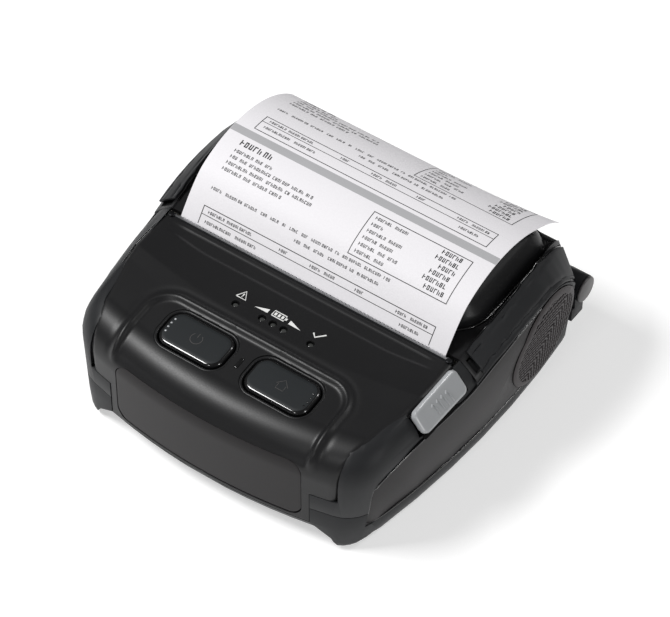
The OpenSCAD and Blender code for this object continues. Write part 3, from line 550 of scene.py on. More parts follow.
@dataclass(frozen=True)
class Metal:
    """Bare metal with the fine lines that rolling, drawing or turning leaves along one axis."""

    name: str
    colour: str
    roughness: float = 0.3
    line: float = 0.12
    stretch: Place = (0.02, 1.0, 1.0)

    def material(self) -> bpy.types.Material:
        """Hands out the finish, built at its first use.

        Returns:
            The material.
        """
        lines = (self.line, 2.0)
        return patterned(self.name, lines, lines, (linear(self.colour, 0.86), linear(self.colour)),
                         (self.roughness - 0.07, self.roughness + 0.1), (0.25, 0.004), {"Metallic": 1.0},
                         self.stretch)


@dataclass(frozen=True)
class Board:
    """Wound or laminated stock: paper, cardboard or circuit laminate, with fibres or a weave."""

    name: str
    colour: str
    second: str
    cell: float = 0.5
    roughness: float = 0.7
    depth: float = 0.01

    def material(self) -> bpy.types.Material:
        """Hands out the finish, built at its first use.

        Returns:
            The material.
        """
        fibre = (self.cell, 4.0)
        return patterned(self.name, fibre, fibre, (linear(self.colour), linear(self.second)),
                         (self.roughness - 0.06, self.roughness + 0.06), (0.3, self.depth),
                         {"IOR": 1.5, "Specular IOR Level": 0.3})


class Finish(Enum):
    """The printer's finishes, each named for the material it is."""

    # Satin black ABS of the operator panel and dome: a lamp leaves a broad, grainy glow.
    PANEL = Moulding("satin black ABS", "#181819", 0.38, 0.4, 0.03, specular=0.3)
    # Matte PC/ABS of the rails and arms: a little blue, and duller than the panel.
    RAIL = Moulding("matte slate PC-ABS", "#1a1b1d", 0.5, 0.3, 0.012, specular=0.3)
    # Warm charcoal soft-touch coating of the side and front plates.
    PLATE = Moulding("warm soft-touch coating", "#161314", 0.46, 0.3, 0.012, specular=0.3)
    # Grip pads in moulded rubber.
    GRIP = Moulding("moulded grip rubber", "#332e2f", 0.5, 0.3, 0.015, specular=0.35)
    # Painted shade: grip rubber coloured near black down in the dimples, where shade falls, and in the
    # release button's slot; it is duller there too.
    HOLLOW = Moulding("painted shade of dimples and slot", "#060606", 0.7, 0.3, 0.01, specular=0.1)
    # Polished black ABS of the beads and button rims: it mirrors the lamps in thin lines.
    GLOSS = Moulding("polished black ABS", "#0c0c0d", 0.2, 0.8, 0.002, coat=0.6, coat_roughness=0.05)
    # Key tops: matte charcoal with a cold cast.
    KEY = Moulding("matte key-top ABS", "#1d2022", 0.5, 0.3, 0.008, specular=0.3)
    # Clear-lacquered silver ABS of the release button.
    SILVER = Moulding("silver lacquered ABS", "#a4a6a8", 0.3, 0.5, 0.004, mottle=0.06, coat=0.5)
    # Pad-printed white ink.
    INK = Moulding("white pad-print ink", "#dcdcda", 0.5, 0.4, 0.004, mottle=0.03)
    # Black thermal print on the labels.
    PRINT = Moulding("thermal print black", "#1c1c1e", 0.6, 0.2, 0.001, mottle=0.2)
    # Liner showing between two labels.
    LINER = Moulding("label liner", "#a9a9ab", 0.45, 0.5, 0.002, mottle=0.04)
    # Clear acrylic light pipes, grey with the dark behind them.
    PIPE = Moulding("acrylic light pipe", "#3c3d3c", 0.15, 0.6, 0.002, coat=0.5)
    LED = Moulding("clear LED epoxy", "#d9d6c0", 0.25, 0.5, 0.004)
    CHIP = Moulding("moulded chip package", "#1d1d1f", 0.6, 0.25, 0.01)
    ACETAL = Moulding("natural acetal", "#e2ded2", 0.4, 0.5, 0.004, mottle=0.03)
    RUBBER = Moulding("ground platen rubber", "#232323", 0.7, 0.25, 0.02, specular=0.3)
    PACK = Moulding("battery pack ABS", "#33353a", 0.5, 0.35, 0.015)
    INSIDE = Moulding("inner frame ABS", "#1f2022", 0.55, 0.4, 0.02)
    CAP = Moulding("grey hinge cap", "#4a4848", 0.35, 0.5, 0.004)
    CERAMIC = Moulding("glazed alumina", "#e4e0d6", 0.2, 0.4, 0.002, mottle=0.03, coat=0.3)
    STEEL = Metal("bright steel strip", "#b6b7b9", 0.36)
    ZINC = Metal("zinc-plated steel", "#a7abaf", 0.38, 0.3, (1.0, 1.0, 0.1))
    BLACKED = Metal("blackened screw steel", "#3b3c3e", 0.35, 0.2, (1.0, 1.0, 1.0))
    ALUMINIUM = Metal("cast aluminium", "#b4b7ba", 0.45, 0.6, (1.0, 1.0, 1.0))
    BRASS = Metal("turned brass", "#c8a860", 0.3, 0.15, (0.05, 1.0, 1.0))
    PAPER = Board("coated label paper", "#dddbde", "#e6e4e7", 0.6, 0.6, 0.006)
    CORE = Board("wound cardboard", "#a28863", "#8c744f", 1.2, 0.85, 0.03)
    LAMINATE = Board("green circuit laminate", "#2a6b41", "#23573a", 0.4, 0.35, 0.008)

    def dress(self, obj: bpy.types.Object) -> None:
        """Gives a piece this finish all over."""
        obj.data.materials.clear()
        obj.data.materials.append(self.value.material())


def settle(obj: bpy.types.Object, finish: Finish, body: str, slot: str, *nodes: str,
           angle: float = 0.0) -> None:
    """Shades a piece, dresses it, sets it on its body and hides the nodes that it stands for.

    Args:
        obj: the piece.
        finish: its finish.
        body: the body it moves with.
        slot: the record's material slot; not used.
        *nodes: CAD nodes that it replaces.
        angle: in degrees, the angle between faces from which a smooth piece has a crease.
    """
    if angle:
        activate(obj)
        bpy.ops.object.shade_smooth_by_angle(angle=math.radians(angle))
    finish.dress(obj)
    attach(obj, body)
    if nodes:
        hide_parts(*nodes)
    LOG.info("%s: %d faces on %s", obj.name, len(obj.data.polygons), body)


def inlay(obj: bpy.types.Object, finish: Finish, chosen: Callable[[Vector], bool]) -> None:
    """Gives some faces of a dressed piece a second finish.

    Args:
        obj: the piece.
        finish: the second finish.
        chosen: says for a face's middle, in metres, whether it gets that finish.
    """
    obj.data.materials.append(finish.value.material())
    for face in obj.data.polygons:
        face.material_index = int(chosen(face.center))


# The body's form


@dataclass(frozen=True)
class BodyForm:
    """Sizes of the case and the curves that its shells share."""

    width: float = 140.0
    depth: float = 132.0
    panel_height: float = 49.5
    bow: float = 215.0
    side_bow: float = 360.0
    roll_over: float = 14.0
    roll_start: float = 33.0
    level: float = 47.0
    top_inset: float = 38.0
    foot: float = 10.6
    face_half: float = 42.0
    corner_top: float = 25.5
    panel_depth: float = 61.6
    # The skin stands this far behind the case's foremost point, so that nothing passes it.
    front_gap: float = 0.2
    # Where the sides stand furthest apart, from the rear wall.
    waist: float = 42.0
    rear_radius: float = 4.0

    @property
    def front(self) -> float:
        """Y of the bowed front on the middle plane."""
        return self.front_gap - self.depth / 2

    @property
    def rear(self) -> float:
        """Y of the rear wall."""
        return self.depth / 2

    @property
    def widest(self) -> float:
        """Y where the sides stand furthest apart."""
        return self.rear - self.waist

    def front_bow(self, x: float) -> float:
        """How far the front falls back at a distance from the middle plane."""
        return self.bow - math.sqrt(self.bow ** 2 - x * x)

    def half_width(self, y: float) -> float:
        """Half width of the body behind its front corners.

        Args:
            y: the depth.

        Returns:
            The bowed side's distance from the middle plane, rounded off at the rear.
        """
        radius = self.rear_radius
        edge = max(0.0, y - self.rear + radius)
        bowed = self.width / 2 - self.side_bow + math.sqrt(self.side_bow ** 2 - (y - self.widest) ** 2)
        return bowed - radius + math.sqrt(max(radius ** 2 - edge ** 2, 0))

    def profile(self, s: float) -> tuple[float, float]:
        """The middle profile of the operator panel.

        Args:
            s: distance along the profile from the face's lower edge, in millimetres.

        Returns:
            How far the point lies behind the front, and its height.
        """
        face = self.roll_start - self.foot
        turn = self.roll_over * math.pi / 2
        if s < face:
            return 0.0, self.foot + s
        if s < face + turn:
            angle = (s - face) / self.roll_over
            return self.roll_over * (1 - math.cos(angle)), self.roll_start + self.roll_over * math.sin(angle)
        run = s - face - turn + self.roll_over
        rise = (self.panel_height - self.level) / (self.top_inset - self.roll_over)
        return run, min(self.level + rise * (run - self.roll_over), self.panel_height)

    @property
    def profile_length(self) -> float:
        """Length of the panel's middle profile."""
        return self.roll_start - self.foot + self.roll_over * (math.pi / 2 - 1) + self.panel_depth

    def panel_edge(self, behind: float, z: float) -> float:
        """Half width of the operator panel at a point of its profile.

        Args:
            behind: how far the point lies behind the front.
            z: its height.

        Returns:
            The half width, by height on the face and by depth on the top.
        """
        if z < self.roll_start:
            return lookup(z, [(25.5, 51.4), (33, 52.0)])
        return lookup(behind, [(0, 52.0), (1.7, 52.9), (6, 54.2), (13.9, 56.3), (28, 60.0), (38, 61.0),
                               (48, 61.2), (61, 60.9)])


FORM = BodyForm()


# Operator panel


@dataclass
class OperatorPanel:
    """Satin black panel that wraps the front: wells, ridge, indicators, keys and cover plate."""

    form: BodyForm = FORM
    key_size: Point = (26.4, 14.9)
    key_radius: float = 5.0
    key_pitch: float = 36.0
    key_y: float = -43.4
    key_z: float = 47.45
    tilt: float = 5.5
    wall: float = 2.0
    indicator_xs: tuple[float, ...] = (-15.8, -4.5, 0.0, 4.5, 15.8)
    indicator_y: float = -24.0
    indicator_radius: float = 1.5
    plate_half: float = 39.0
    plate_low: float = 12.2
    plate_high: float = 38.2
    plate_radius: float = 5.0

    def key_place(self, x: float, y: float, z: float) -> Place:
        """Turns a place in the keys' tilted frame into one in the part's frame.

        Args:
            x: across the printer.
            y: up the keys' slope.
            z: out of it.

        Returns:
            The place in millimetres.
        """
        a = math.radians(self.tilt)
        return (x, self.key_y + y * math.cos(a) - z * math.sin(a),
                self.key_z + y * math.sin(a) + z * math.cos(a))

    def key_ring(self, centre: float, grow: float, height: float, steps: int = 14) -> list[Place]:
        """Outline of a key, grown or shrunk.

        Args:
            centre: the key's middle, across the printer.
            grow: how far the outline lies outside the key's edge.
            height: how high it lies over the keys' plane.
            steps: how many lines a corner has.

        Returns:
            Places in the part's frame.
        """
        width, depth = self.key_size
        outline = rounded(width + 2 * grow, depth + 2 * grow, max(self.key_radius + grow, 1.5), steps)
        return [self.key_place(centre + x, y, height) for x, y in outline]

    def relief(self, x: float, y: float, z: float) -> float:
        """Carving of the panel's skin.

        Args:
            x: place across the printer.
            y: its depth.
            z: its height.

        Returns:
            Height of the ridge, the key field and the creases above the plain surface.
        """
        dx, dy = abs(x), y - self.key_y
        # The ridge is a rounded frame, open at the front.
        side = outside_rounded(x, y + 67.6, 82, 70, 9) if dy < 30 else 20
        live = ramp(z, 36.5, 40.5)
        field_drop = -0.75 * ramp(-side, -0.3, 1.6)
        crest = 0.7 * hump(side - 0.6, 1.15)
        valley = -0.16 * hump(side - 3.2, 1.1)
        ridge = live * (field_drop + crest + valley)
        # Two long creases run side by side behind the indicators and meet at the ends.
        taper = 1 - ramp(dx, 50, 58)
        start = -11.6 + 2.0 * ramp(dx, 36, 58)
        trough = ramp(y, start - 0.6, start + 0.6) * ramp(-y, 5.4, 6.4)
        return ridge - 0.4 * taper * trough

    def surface(self, u: float, v: float, total: float) -> Place:
        """Place on the panel for grid coordinates.

        Args:
            u: across the panel, from its left edge to its right.
            v: from the face's lower edge to the rear edge.
            total: length of the middle profile.

        Returns:
            The place in millimetres.
        """
        form = self.form
        behind, z = form.profile(v * total)
        c = (u - 0.5) * 2
        edge = form.panel_edge(behind, z)
        # Columns crowd towards the side edges, where the panel rolls over.
        x = edge * math.copysign(0.62 * abs(c) + 0.38 * math.sin(abs(c) * math.pi / 2), c)
        bow = form.front_bow(x)
        y = form.front + behind + bow
        if behind > 30:
            share = (behind - 30) / (form.panel_depth - 30)
            y = form.front + 30 + bow * (1 - share) + (behind - 30)
        near = edge - abs(x)
        roll = 1.7 * (1 - math.sqrt(max(1 - max(1 - near / 2.6, 0) ** 2, 0)))
        lift = self.relief(x, y, z) - roll
        if behind >= form.roll_over:
            ny, nz = -0.096, 0.995
        elif z <= form.roll_start:
            ny, nz = -1.0, 0.0
        else:
            turn = math.acos(max(-1.0, min(1.0, 1 - behind / form.roll_over)))
            ny, nz = -math.cos(turn), math.sin(turn)
        return (x, y + lift * ny, z + lift * nz)

    def trim_corners(self, skin: bpy.types.Object) -> None:
        """Takes away the skin where the case's corner pieces come up beside the face.

        Args:
            skin: the panel, still without a wall.
        """
        form = self.form
        planes = [((0, 0, form.corner_top), UP)] + [((sx * form.face_half, 0, 0), Vector((1, 0, 0)))
                                                    for sx in (1, -1)]
        with editing(skin) as mesh:
            for point, normal in planes:
                bmesh.ops.bisect_plane(mesh, geom=mesh.verts[:] + mesh.edges[:] + mesh.faces[:],
                                       plane_co=Vector(point) * MM, plane_no=normal, dist=0.00001 * MM)
            gone = []
            for face in mesh.faces:
                middle = face.calc_center_median() / MM
                if middle.z < form.corner_top and abs(middle.x) > form.face_half:
                    gone.append(face)
            bmesh.ops.delete(mesh, geom=gone, context="FACES")
            bmesh.ops.remove_doubles(mesh, verts=mesh.verts, dist=0.02 * MM)

    def build_shell(self) -> None:
        """Shapes the panel, with its holes for keys, indicators and cover plate."""
        total = self.form.profile_length
        shell = grid("panel_shell", 190, 150, lambda u, v: self.surface(u, v, total))
        self.trim_corners(shell)
        modifier(shell, "SOLIDIFY", thickness=self.wall * MM, offset=-1.0, use_even_offset=True)
        tidy(shell)
        a = math.radians(self.tilt)
        for sx, _ in SIDES:
            outline = self.key_ring(sx * self.key_pitch / 2, 1.7, -6, 10)
            cut(shell, prism("well", outline, (0, -14 * math.sin(a), 14 * math.cos(a))))
        for x in self.indicator_xs:
            ring = [(px, py, 42) for px, py in circle((x, self.indicator_y), self.indicator_radius)]
            cut(shell, prism("hole", ring, (0, 0, 12)))
        cut(shell, self.plate("plate_pocket", 0.6, 1.45, 2.0))
        soften(shell, 0.22, 2, 38)
        settle(shell, Finish.PANEL, "chassis", "panel", "operator_panel", angle=40)

    def plate(self, name: str, grow: float, deep: float, proud: float) -> bpy.types.Object:
        """A bowed slab over the front cover plate's outline.

        Args:
            name: the slab's name.
            grow: how far it reaches past the plate's edge.
            deep: how far it goes behind the face.
            proud: how far it stands out of it.

        Returns:
            The slab.
        """
        low, high, half, radius = (self.plate_low - grow, self.plate_high + grow, self.plate_half + grow,
                                   self.plate_radius)

        def face(u: float, v: float) -> Place:
            """Place on the slab's outer face.

            Args:
                u: across the face, from 0 to 1.
                v: up the face, from 0 to 1.

            Returns:
                The place in millimetres.
            """
            # Rows crowd where the corners round.
            z = low + (high - low) * (1 - math.cos(v * math.pi)) / 2
            near = min(z - low, high - z)
            trim = radius - math.sqrt(max(radius ** 2 - max(radius - near, 0) ** 2, 0))
            x = (u - 0.5) * 2 * (half - trim)
            behind = 0.0
            if z > self.form.roll_start:
                turn = self.form.roll_over
                behind = turn - math.sqrt(turn ** 2 - (z - self.form.roll_start) ** 2)
            return (x, self.form.front + behind + self.form.front_bow(x) - proud, z)

        slab = grid(name, 60, 40, face)
        modifier(slab, "SOLIDIFY", thickness=(deep + proud) * MM, offset=-1.0)
        tidy(slab)
        return slab

    def build_plate(self) -> None:
        """The warm charcoal plate on the front face."""
        plate = self.plate("front_plate", 0.0, 1.1, -0.12)
        soften(plate, 0.5, 3, 40)
        settle(plate, Finish.PLATE, "chassis", "warm", "front_cover_plate", angle=40)

    def build_wells(self) -> None:
        """Raised lips round the keys, each sloping down to a floor under its key."""
        section = [(-0.25, -1.4), (-0.05, -0.25), (0.25, 0.1), (0.6, 0.22), (0.95, 0.1), (1.2, -0.25),
                   (1.45, -1.2), (1.5, -3.6)]
        for sx, side in SIDES:
            rings = [self.key_ring(sx * self.key_pitch / 2, 1.75 - inward, height - 0.72)
                     for inward, height in section]
            well = stack(f"key_well_{side}", rings, capped=False)
            modifier(well, "SOLIDIFY", thickness=0.5 * MM, offset=-1.0)
            settle(well, Finish.PANEL, "chassis", "panel", angle=60)

    def build_keys(self) -> None:
        """Two keys: a polished flank, a matte top, an engraved sign and a row of dots."""
        # Each pair is a ring's distance inside the key's edge, and its height.
        flank_rings = [(0.0, -4.0), (0.0, -1.5), (0.05, -0.9), (0.3, -0.35), (0.75, 0.05), (1.25, 0.2)]
        top_rings = [(1.15, -0.1), (1.22, 0.2), (1.45, 0.29), (2.4, 0.32)]
        for sx, node, body in ((-1, "power_button", "power_key"), (1, "feed_button", "feed_key")):
            centre = sx * self.key_pitch / 2
            flank = stack(f"{node}_flank", [self.key_ring(centre, -i, h) for i, h in flank_rings])
            settle(flank, Finish.GLOSS, body, "key", node, angle=30)
            top = stack(f"{node}_top", [self.key_ring(centre, -i, h) for i, h in top_rings])
            settle(top, Finish.KEY, body, "key", angle=30)
            strokes: list[list[Point]] = []
            if sx < 0:
                strokes.append([(2.2 * math.sin(math.radians(a)), 2.2 * math.cos(math.radians(a)))
                                for a in range(38, 323, 12)])
                strokes.append([(0, 0.5), (0, 2.4)])
            else:
                strokes.append([(-1.5, 0.2), (-1.5, -1.9), (1.5, -1.9), (1.5, 0.2)])
                strokes.append([(-2.3, 0.0), (0, 2.4), (2.3, 0.0)])
            sign = self.strokes(f"{node}_sign", [[(centre + x, y) for x, y in s] for s in strokes], 0.32)
            # Partly painted highlight: the sign is real, but its grey, lighter than the dark glossy
            # engraving, stands for the light on its edges.
            settle(sign, Finish.CAP, body, "key", angle=40)
            dots = []
            for k in range(4):
                deselect()
                bpy.ops.mesh.primitive_uv_sphere_add(segments=12, ring_count=8, radius=0.42 * MM)
                dot = bpy.context.object
                x, y = centre + sx * (11.4 - 0.25 * abs(k - 1.5)), (k - 1.5) * 1.9
                place = Vector(self.key_place(x, y, 0.3)) * MM
                for vert in dot.data.vertices:
                    vert.co = Vector((vert.co.x, vert.co.y, vert.co.z * 0.5)) + place
                dots.append(dot)
            shine = Finish.SILVER if sx < 0 else Finish.GLOSS
            settle(join(f"{node}_dots", dots), shine, body, "key", angle=60)

    def strokes(self, name: str, lines: list[list[Point]], width: float) -> bpy.types.Object:
        """Thin raised lines on a key top, laid along flat paths.

        Args:
            name: the piece's name.
            lines: points of each line in the keys' frame.
            width: how wide the lines are.

        Returns:
            The lines as one piece.
        """
        up = Vector((0, -math.sin(math.radians(self.tilt)), math.cos(math.radians(self.tilt))))
        half = width / 2
        section = [(-half, -0.1), (half, -0.1), (half * 0.6, 0.09), (-half * 0.6, 0.09)]
        return join(name, [sweep("stroke", [self.key_place(x, y, 0.32) for x, y in line], section, up)
                           for line in lines])

    def build_indicators(self) -> None:
        """Light pipes in their holes, and the white signs beside them."""
        profile = [(1.28, 41.5), (1.28, 48.1), (1.1, 48.45), (0.7, 48.65), (0.25, 48.72)]
        pipes = []
        for x in self.indicator_xs:
            rings = [[(px, py, z) for px, py in circle((x, self.indicator_y), r)] for r, z in profile]
            pipes.append(stack("pipe", rings))
        pipes.append(block("carrier", (-18.3, self.indicator_y - 2, 41.5), (18.3, self.indicator_y + 2, 43)))
        settle(join("pipe_row", pipes), Finish.PIPE, "chassis", "pipe", "light_pipes", angle=40)
        self.build_signs()

    def build_signs(self) -> None:
        """Plain white pictograms above the indicators: a warning sign, a battery and a tick."""
        z = self.form.panel_height + 0.02

        def flat(points: Sequence[Point]) -> bpy.types.Object:
            """A thin printed area."""
            return prism("ink", [(x, y, z - 0.03) for x, y in points], (0, 0, 0.06))

        def line(points: Sequence[Point], width: float = 0.42) -> bpy.types.Object:
            """A thin printed line.

            Args:
                points: the line's path.
                width: how wide it is.

            Returns:
                The line.
            """
            h = width / 2
            section = [(-h, -0.03), (h, -0.03), (h, 0.03), (-h, 0.03)]
            return sweep("ink", [(x, y, z) for x, y in points], section)

        parts: list[bpy.types.Object] = []
        x0, y0 = self.indicator_xs[0], self.indicator_y + 3.1
        parts += [line([(x0 - 2, y0), (x0 + 2, y0), (x0, y0 + 3.5), (x0 - 2, y0)], 0.4),
                  line([(x0, y0 + 1.1), (x0, y0 + 2.3)], 0.45), line([(x0, y0 + 0.5), (x0, y0 + 0.8)], 0.45)]
        y1 = self.indicator_y + 2.9
        # A battery between two tapering wedges.
        parts += [line([(-2.7, y1), (2.3, y1), (2.3, y1 + 2.4), (-2.7, y1 + 2.4), (-2.7, y1)], 0.4),
                  flat([(2.5, y1 + 0.7), (3.1, y1 + 0.7), (3.1, y1 + 1.7), (2.5, y1 + 1.7)])]
        for k in range(3):
            parts.append(flat([(-2.1 + 1.45 * k, y1 + 0.55), (-1.2 + 1.45 * k, y1 + 0.55),
                               (-1.2 + 1.45 * k, y1 + 1.85), (-2.1 + 1.45 * k, y1 + 1.85)]))
        for sx in (-1, 1):
            tip = [(sx * 4.4, y1 - 0.1), (sx * 9.6, y1 - 0.15), (sx * 4.4, y1 + 1.7)]
            parts.append(flat(tip if sx > 0 else tip[::-1]))
        x2 = self.indicator_xs[-1]
        parts.append(line([(x2 - 2.0, y0 + 1.6), (x2 - 0.5, y0 + 0.1), (x2 + 2.3, y0 + 3.1)], 0.55))
        settle(join("indicator_signs", parts), Finish.INK, "chassis", "pipe")

    def build_bar(self) -> None:
        """A small raised bar between the keys, to feel them by."""
        rings = []
        for inset, height in ((0.0, -1.4), (0.0, -0.35), (0.2, -0.02), (0.5, 0.08)):
            rings.append([self.key_place(x, y, height)
                          for x, y in rounded(1.5 - 2 * inset * 0.7, 5.2 - 2 * inset, 0.7 - inset * 0.6, 6)])
        settle(stack("feel_bar", rings), Finish.GLOSS, "chassis", "panel", angle=50)

    def build(self) -> None:
        """Builds every piece of the panel."""
        self.build_shell()
        self.build_plate()
        self.build_wells()
        self.build_keys()
        self.build_indicators()
        self.build_bar()


# Tear bar


@dataclass
class TearBar:
    """Bright steel strip with a serrated rear edge, held by a screw at each end."""

    half: float = 60.0
    bright: float = 57.4
    front: float = -4.3
    rear: float = -1.9
    top: float = 49.7
    pitch: float = 1.6
    notch: float = 0.75
    # Where the ground edge begins.
    ground: float = -3.1

    def build(self) -> None:
        """Lays the strip's section out tooth by tooth."""
        section = [(self.front, -2.2), (self.front, -0.5), (self.front + 0.3, -0.1), (self.front + 0.9, 0.0),
                   (self.rear - 0.8, 0.0)]
        under = [(self.rear - 0.9, -0.6), (self.rear - 0.9, -2.2)]
        # Four columns to a tooth.
        count = int(2 * self.half / self.pitch) * 4
        rings = []
        for k in range(count + 1):
            x = -self.half + 2 * self.half * k / count
            tip = self.rear - self.notch * abs(((x + self.half) / self.pitch) % 1.0 - 0.5) * 2
            rows = section + [(tip, -0.12), (tip, -0.3)] + under
            rings.append([(x, y, self.top + z) for y, z in rows])
        bar = stack("tear_blade", rings)
        settle(bar, Finish.STEEL, "chassis", "steel", "tear_bar", angle=30)
        # Only the toothed edge is ground bright, and the rest of the strip is blackened.
        inlay(bar, Finish.BLACKED, lambda spot: abs(spot.x) > self.bright * MM or spot.y < self.ground * MM)


# Cover


@dataclass
class Cover:
    """Hinged cover: a deck with a dome over the roll, and an arm down each side."""

    dome_half: float = 58.5
    dome_front: float = 6.6
    dome_rear: float = 62.8
    dome_radius: float = 44.0
    dome_axis: Point = (34.0, 20.5)
    dome_corners: Point = (14.0, 9.0)
    crest_z: float = 56.0
    crest_y: float = 48.0
    crest_radius: float = 173.0
    # Behind this depth the crest turns down on a smaller arc.
    turn_y: float = 54.0
    turn_z: float = 44.0
    turn_radius: float = 12.0
    deck: float = 50.5
    arm_rows: int = 84
    arm_columns: int = 16

    @property
    def dome_middle(self) -> float:
        """Y of the middle of the dome's foot."""
        return (self.dome_front + self.dome_rear) / 2

    def arm_z(self, y: float) -> float:
        """Height of the arm's crest.

        Args:
            y: the depth.

        Returns:
            A long arc, with a smaller one at the rear.
        """
        high = self.crest_z - self.crest_radius + math.sqrt(self.crest_radius ** 2 - (y - self.crest_y) ** 2)
        if y > self.turn_y:
            high = min(high, self.turn_z + math.sqrt(max(0, self.turn_radius ** 2 - (y - self.turn_y) ** 2)))
        return high

    def deck_z(self, y: float) -> float:
        """Height of the deck between the arms."""
        return min(self.arm_z(y) - 0.5, self.deck)

    def dome_z(self, x: float, y: float) -> float:
        """Height of the dome.

        Args:
            x: place across the printer.
            y: its depth.

        Returns:
            The lower of the arc over the roll and the rounded shoulders, blended where they meet.
        """
        inside = -outside_rounded(x, y - self.dome_middle, 2 * self.dome_half,
                                  self.dome_rear - self.dome_front, 12)
        shoulder = lookup(inside, [(0, 52.1), (0.5, 53.7), (1.8, 55.7), (4.2, 58.5), (8, 61.5), (13, 63.9),
                                   (20, 66.5), (40, 70)])
        arc = self.dome_axis[1] + math.sqrt(max(self.dome_radius ** 2 - (y - self.dome_axis[0]) ** 2, 1))
        blend = 2.0
        mix = max(0.0, 1 - abs(shoulder - arc) / blend)
        return min(shoulder, arc) - mix * mix * blend / 4

    def dome_point(self, u: float, v: float) -> Place:
        """Place on the dome, with rows crowded at its rounded ends.

        Args:
            u: across, from 0 to 1.
            v: from the front to the rear, from 0 to 1.

        Returns:
            The place in millimetres.
        """
        t = (1 - math.cos(v * math.pi)) / 2 * 0.75 + v * 0.25
        y = self.dome_front + (self.dome_rear - self.dome_front) * t
        trim = 0.0
        for near, radius in zip((y - self.dome_front, self.dome_rear - y), self.dome_corners):
            if near < radius:
                trim = max(trim, radius - math.sqrt(max(radius ** 2 - (radius - near) ** 2, 0)))
        c = (u - 0.5) * 2
        c = math.copysign(math.sin(abs(c) * math.pi / 2) * 0.5 + abs(c) * 0.5, c)
        x = c * (self.dome_half - trim)
        return (x, y, self.dome_z(x, y))

    def build_dome(self) -> None:
        """Dome with a skirt that stands on the deck."""
        def place(u: float, v: float) -> Place:
            """Place on the dome, its outermost ring let down to the deck.

            Args:
                u: across, from 0 to 1.
                v: from the front to the rear, from 0 to 1.

            Returns:
                The place in millimetres.
            """
            edge = 0.012
            x, y, z = self.dome_point(*(min(max((w - edge) / (1 - 2 * edge), 0), 1) for w in (u, v)))
            if u < edge or u > 1 - edge or v < edge or v > 1 - edge:
                z = 50.0 if y < 57 else self.arm_z(min(y, 65)) - 3
                z = min(z, self.dome_z(x, y))
            return (x, y, z)

        dome = grid("dome_skin", 110, 80, place, 1.8)
        tidy(dome)
        settle(dome, Finish.PANEL, "cover", "panel", "cover_dome", angle=45)

    def build_bead(self) -> None:
        """Polished bead round the foot of the dome."""
        path = []
        for x, y in rounded(2 * self.dome_half + 0.9, self.dome_rear - self.dome_front + 0.9, 14.4, 12):
            y += self.dome_middle
            path.append((x, y, self.deck_z(min(y, 63)) + 0.15))
        bead = sweep("dome_rim", path, tube(0.55, 1.1), closed=True)
        tidy(bead)
        settle(bead, Finish.GLOSS, "cover", "gloss", "dome_bead", angle=60)

    def arm_row(self, tree: BVHTree, y: float, count: int) -> list[Place]:
        """Samples the arm's outer surface at a depth, from its crest down to the seam.

        Args:
            tree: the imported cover's faces.
            y: the depth.
            count: how many points to give.

        Returns:
            Points at even spacing, a hair above the surface.
        """
        centre = Vector((57.5, y, self.arm_z(y) - 15))
        seam = 47.3 - max(31 - y, 0) ** 2 / 224
        if y > 39:
            seam -= 24.6 * (1 - math.sqrt(1 - ((y - 39) / 28) ** 2))
        found: list[Vector] = []
        for k in range(60):
            a = math.radians(14 + 1.5 * k)
            ahead = Vector((math.sin(a), 0, math.cos(a)))
            hit = tree.ray_cast((centre + ahead * 40) * MM, -ahead)[0]
            if hit is None:
                continue
            point = hit / MM + ahead * 0.5
            if point.x > 61.3 and point.z > seam + 0.4 and (point - centre).length > 8:
                found.append(point)
        lengths = running_lengths(found)
        row: list[Place] = []
        for k in range(count):
            j, t = stretch_at(lengths, lengths[-1] * k / (count - 1))
            row.append(tuple(found[j].lerp(found[j + 1], t)))
        return row

    def arm_table(self) -> list[list[Place]]:
        """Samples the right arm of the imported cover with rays.

        Returns:
            Rows of places, smoothed.
        """
        verts: list[Vector] = []
        faces: list[tuple[int, ...]] = []
        for name in ("cover_shell", "arm_inlay_right"):
            node = frame["nodes"][name]
            base = len(verts)
            verts += [node.matrix_world @ v.co for v in node.data.vertices]
            faces += [tuple(base + k for k in f.vertices) for f in node.data.polygons]
        tree = BVHTree.FromPolygons(verts, faces)
        table = [self.arm_row(tree, 2.8 + (61.5 - 2.8) * k / (self.arm_rows - 1), self.arm_columns)
                 for k in range(self.arm_rows)]
        for _ in range(3):
            # Neighbouring rows are averaged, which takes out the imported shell's facets.
            inner = []
            for trio in zip(table, table[1:], table[2:]):
                inner.append([tuple((a + 2 * b + c) / 4 for a, b, c in zip(*spots)) for spots in zip(*trio)])
            table = [table[0]] + inner + [table[-1]]
        return table

    def build_arms(self) -> None:
        """Broad slate covers of the arms, and the polished line along each crest."""
        table = self.arm_table()
        for sx, side in SIDES:
            points = [(sx * x, y, z) for row in table for x, y, z in row]
            net = [f[::-sx] for f in quads(self.arm_rows, self.arm_columns)]
            cover = raw_mesh(f"arm_cover_{side}", points, net)
            modifier(cover, "SOLIDIFY", thickness=0.9 * MM, offset=-1.0)
            soften(cover, 0.15, 2, 50)
            settle(cover, Finish.RAIL, "cover", "inlay", f"arm_inlay_{side}", angle=50)
            crest = [(sx * (row[0][0] - 0.25), row[0][1], row[0][2] - 0.1) for row in table]
            line = sweep(f"arm_line_{side}", crest, tube(0.35))
            settle(line, Finish.GLOSS, "cover", "inlay", angle=60)

    def build(self) -> None:
        """Builds the dome, its bead and the arms' covers."""
        self.build_dome()
        self.build_bead()
        self.build_arms()


# Paper


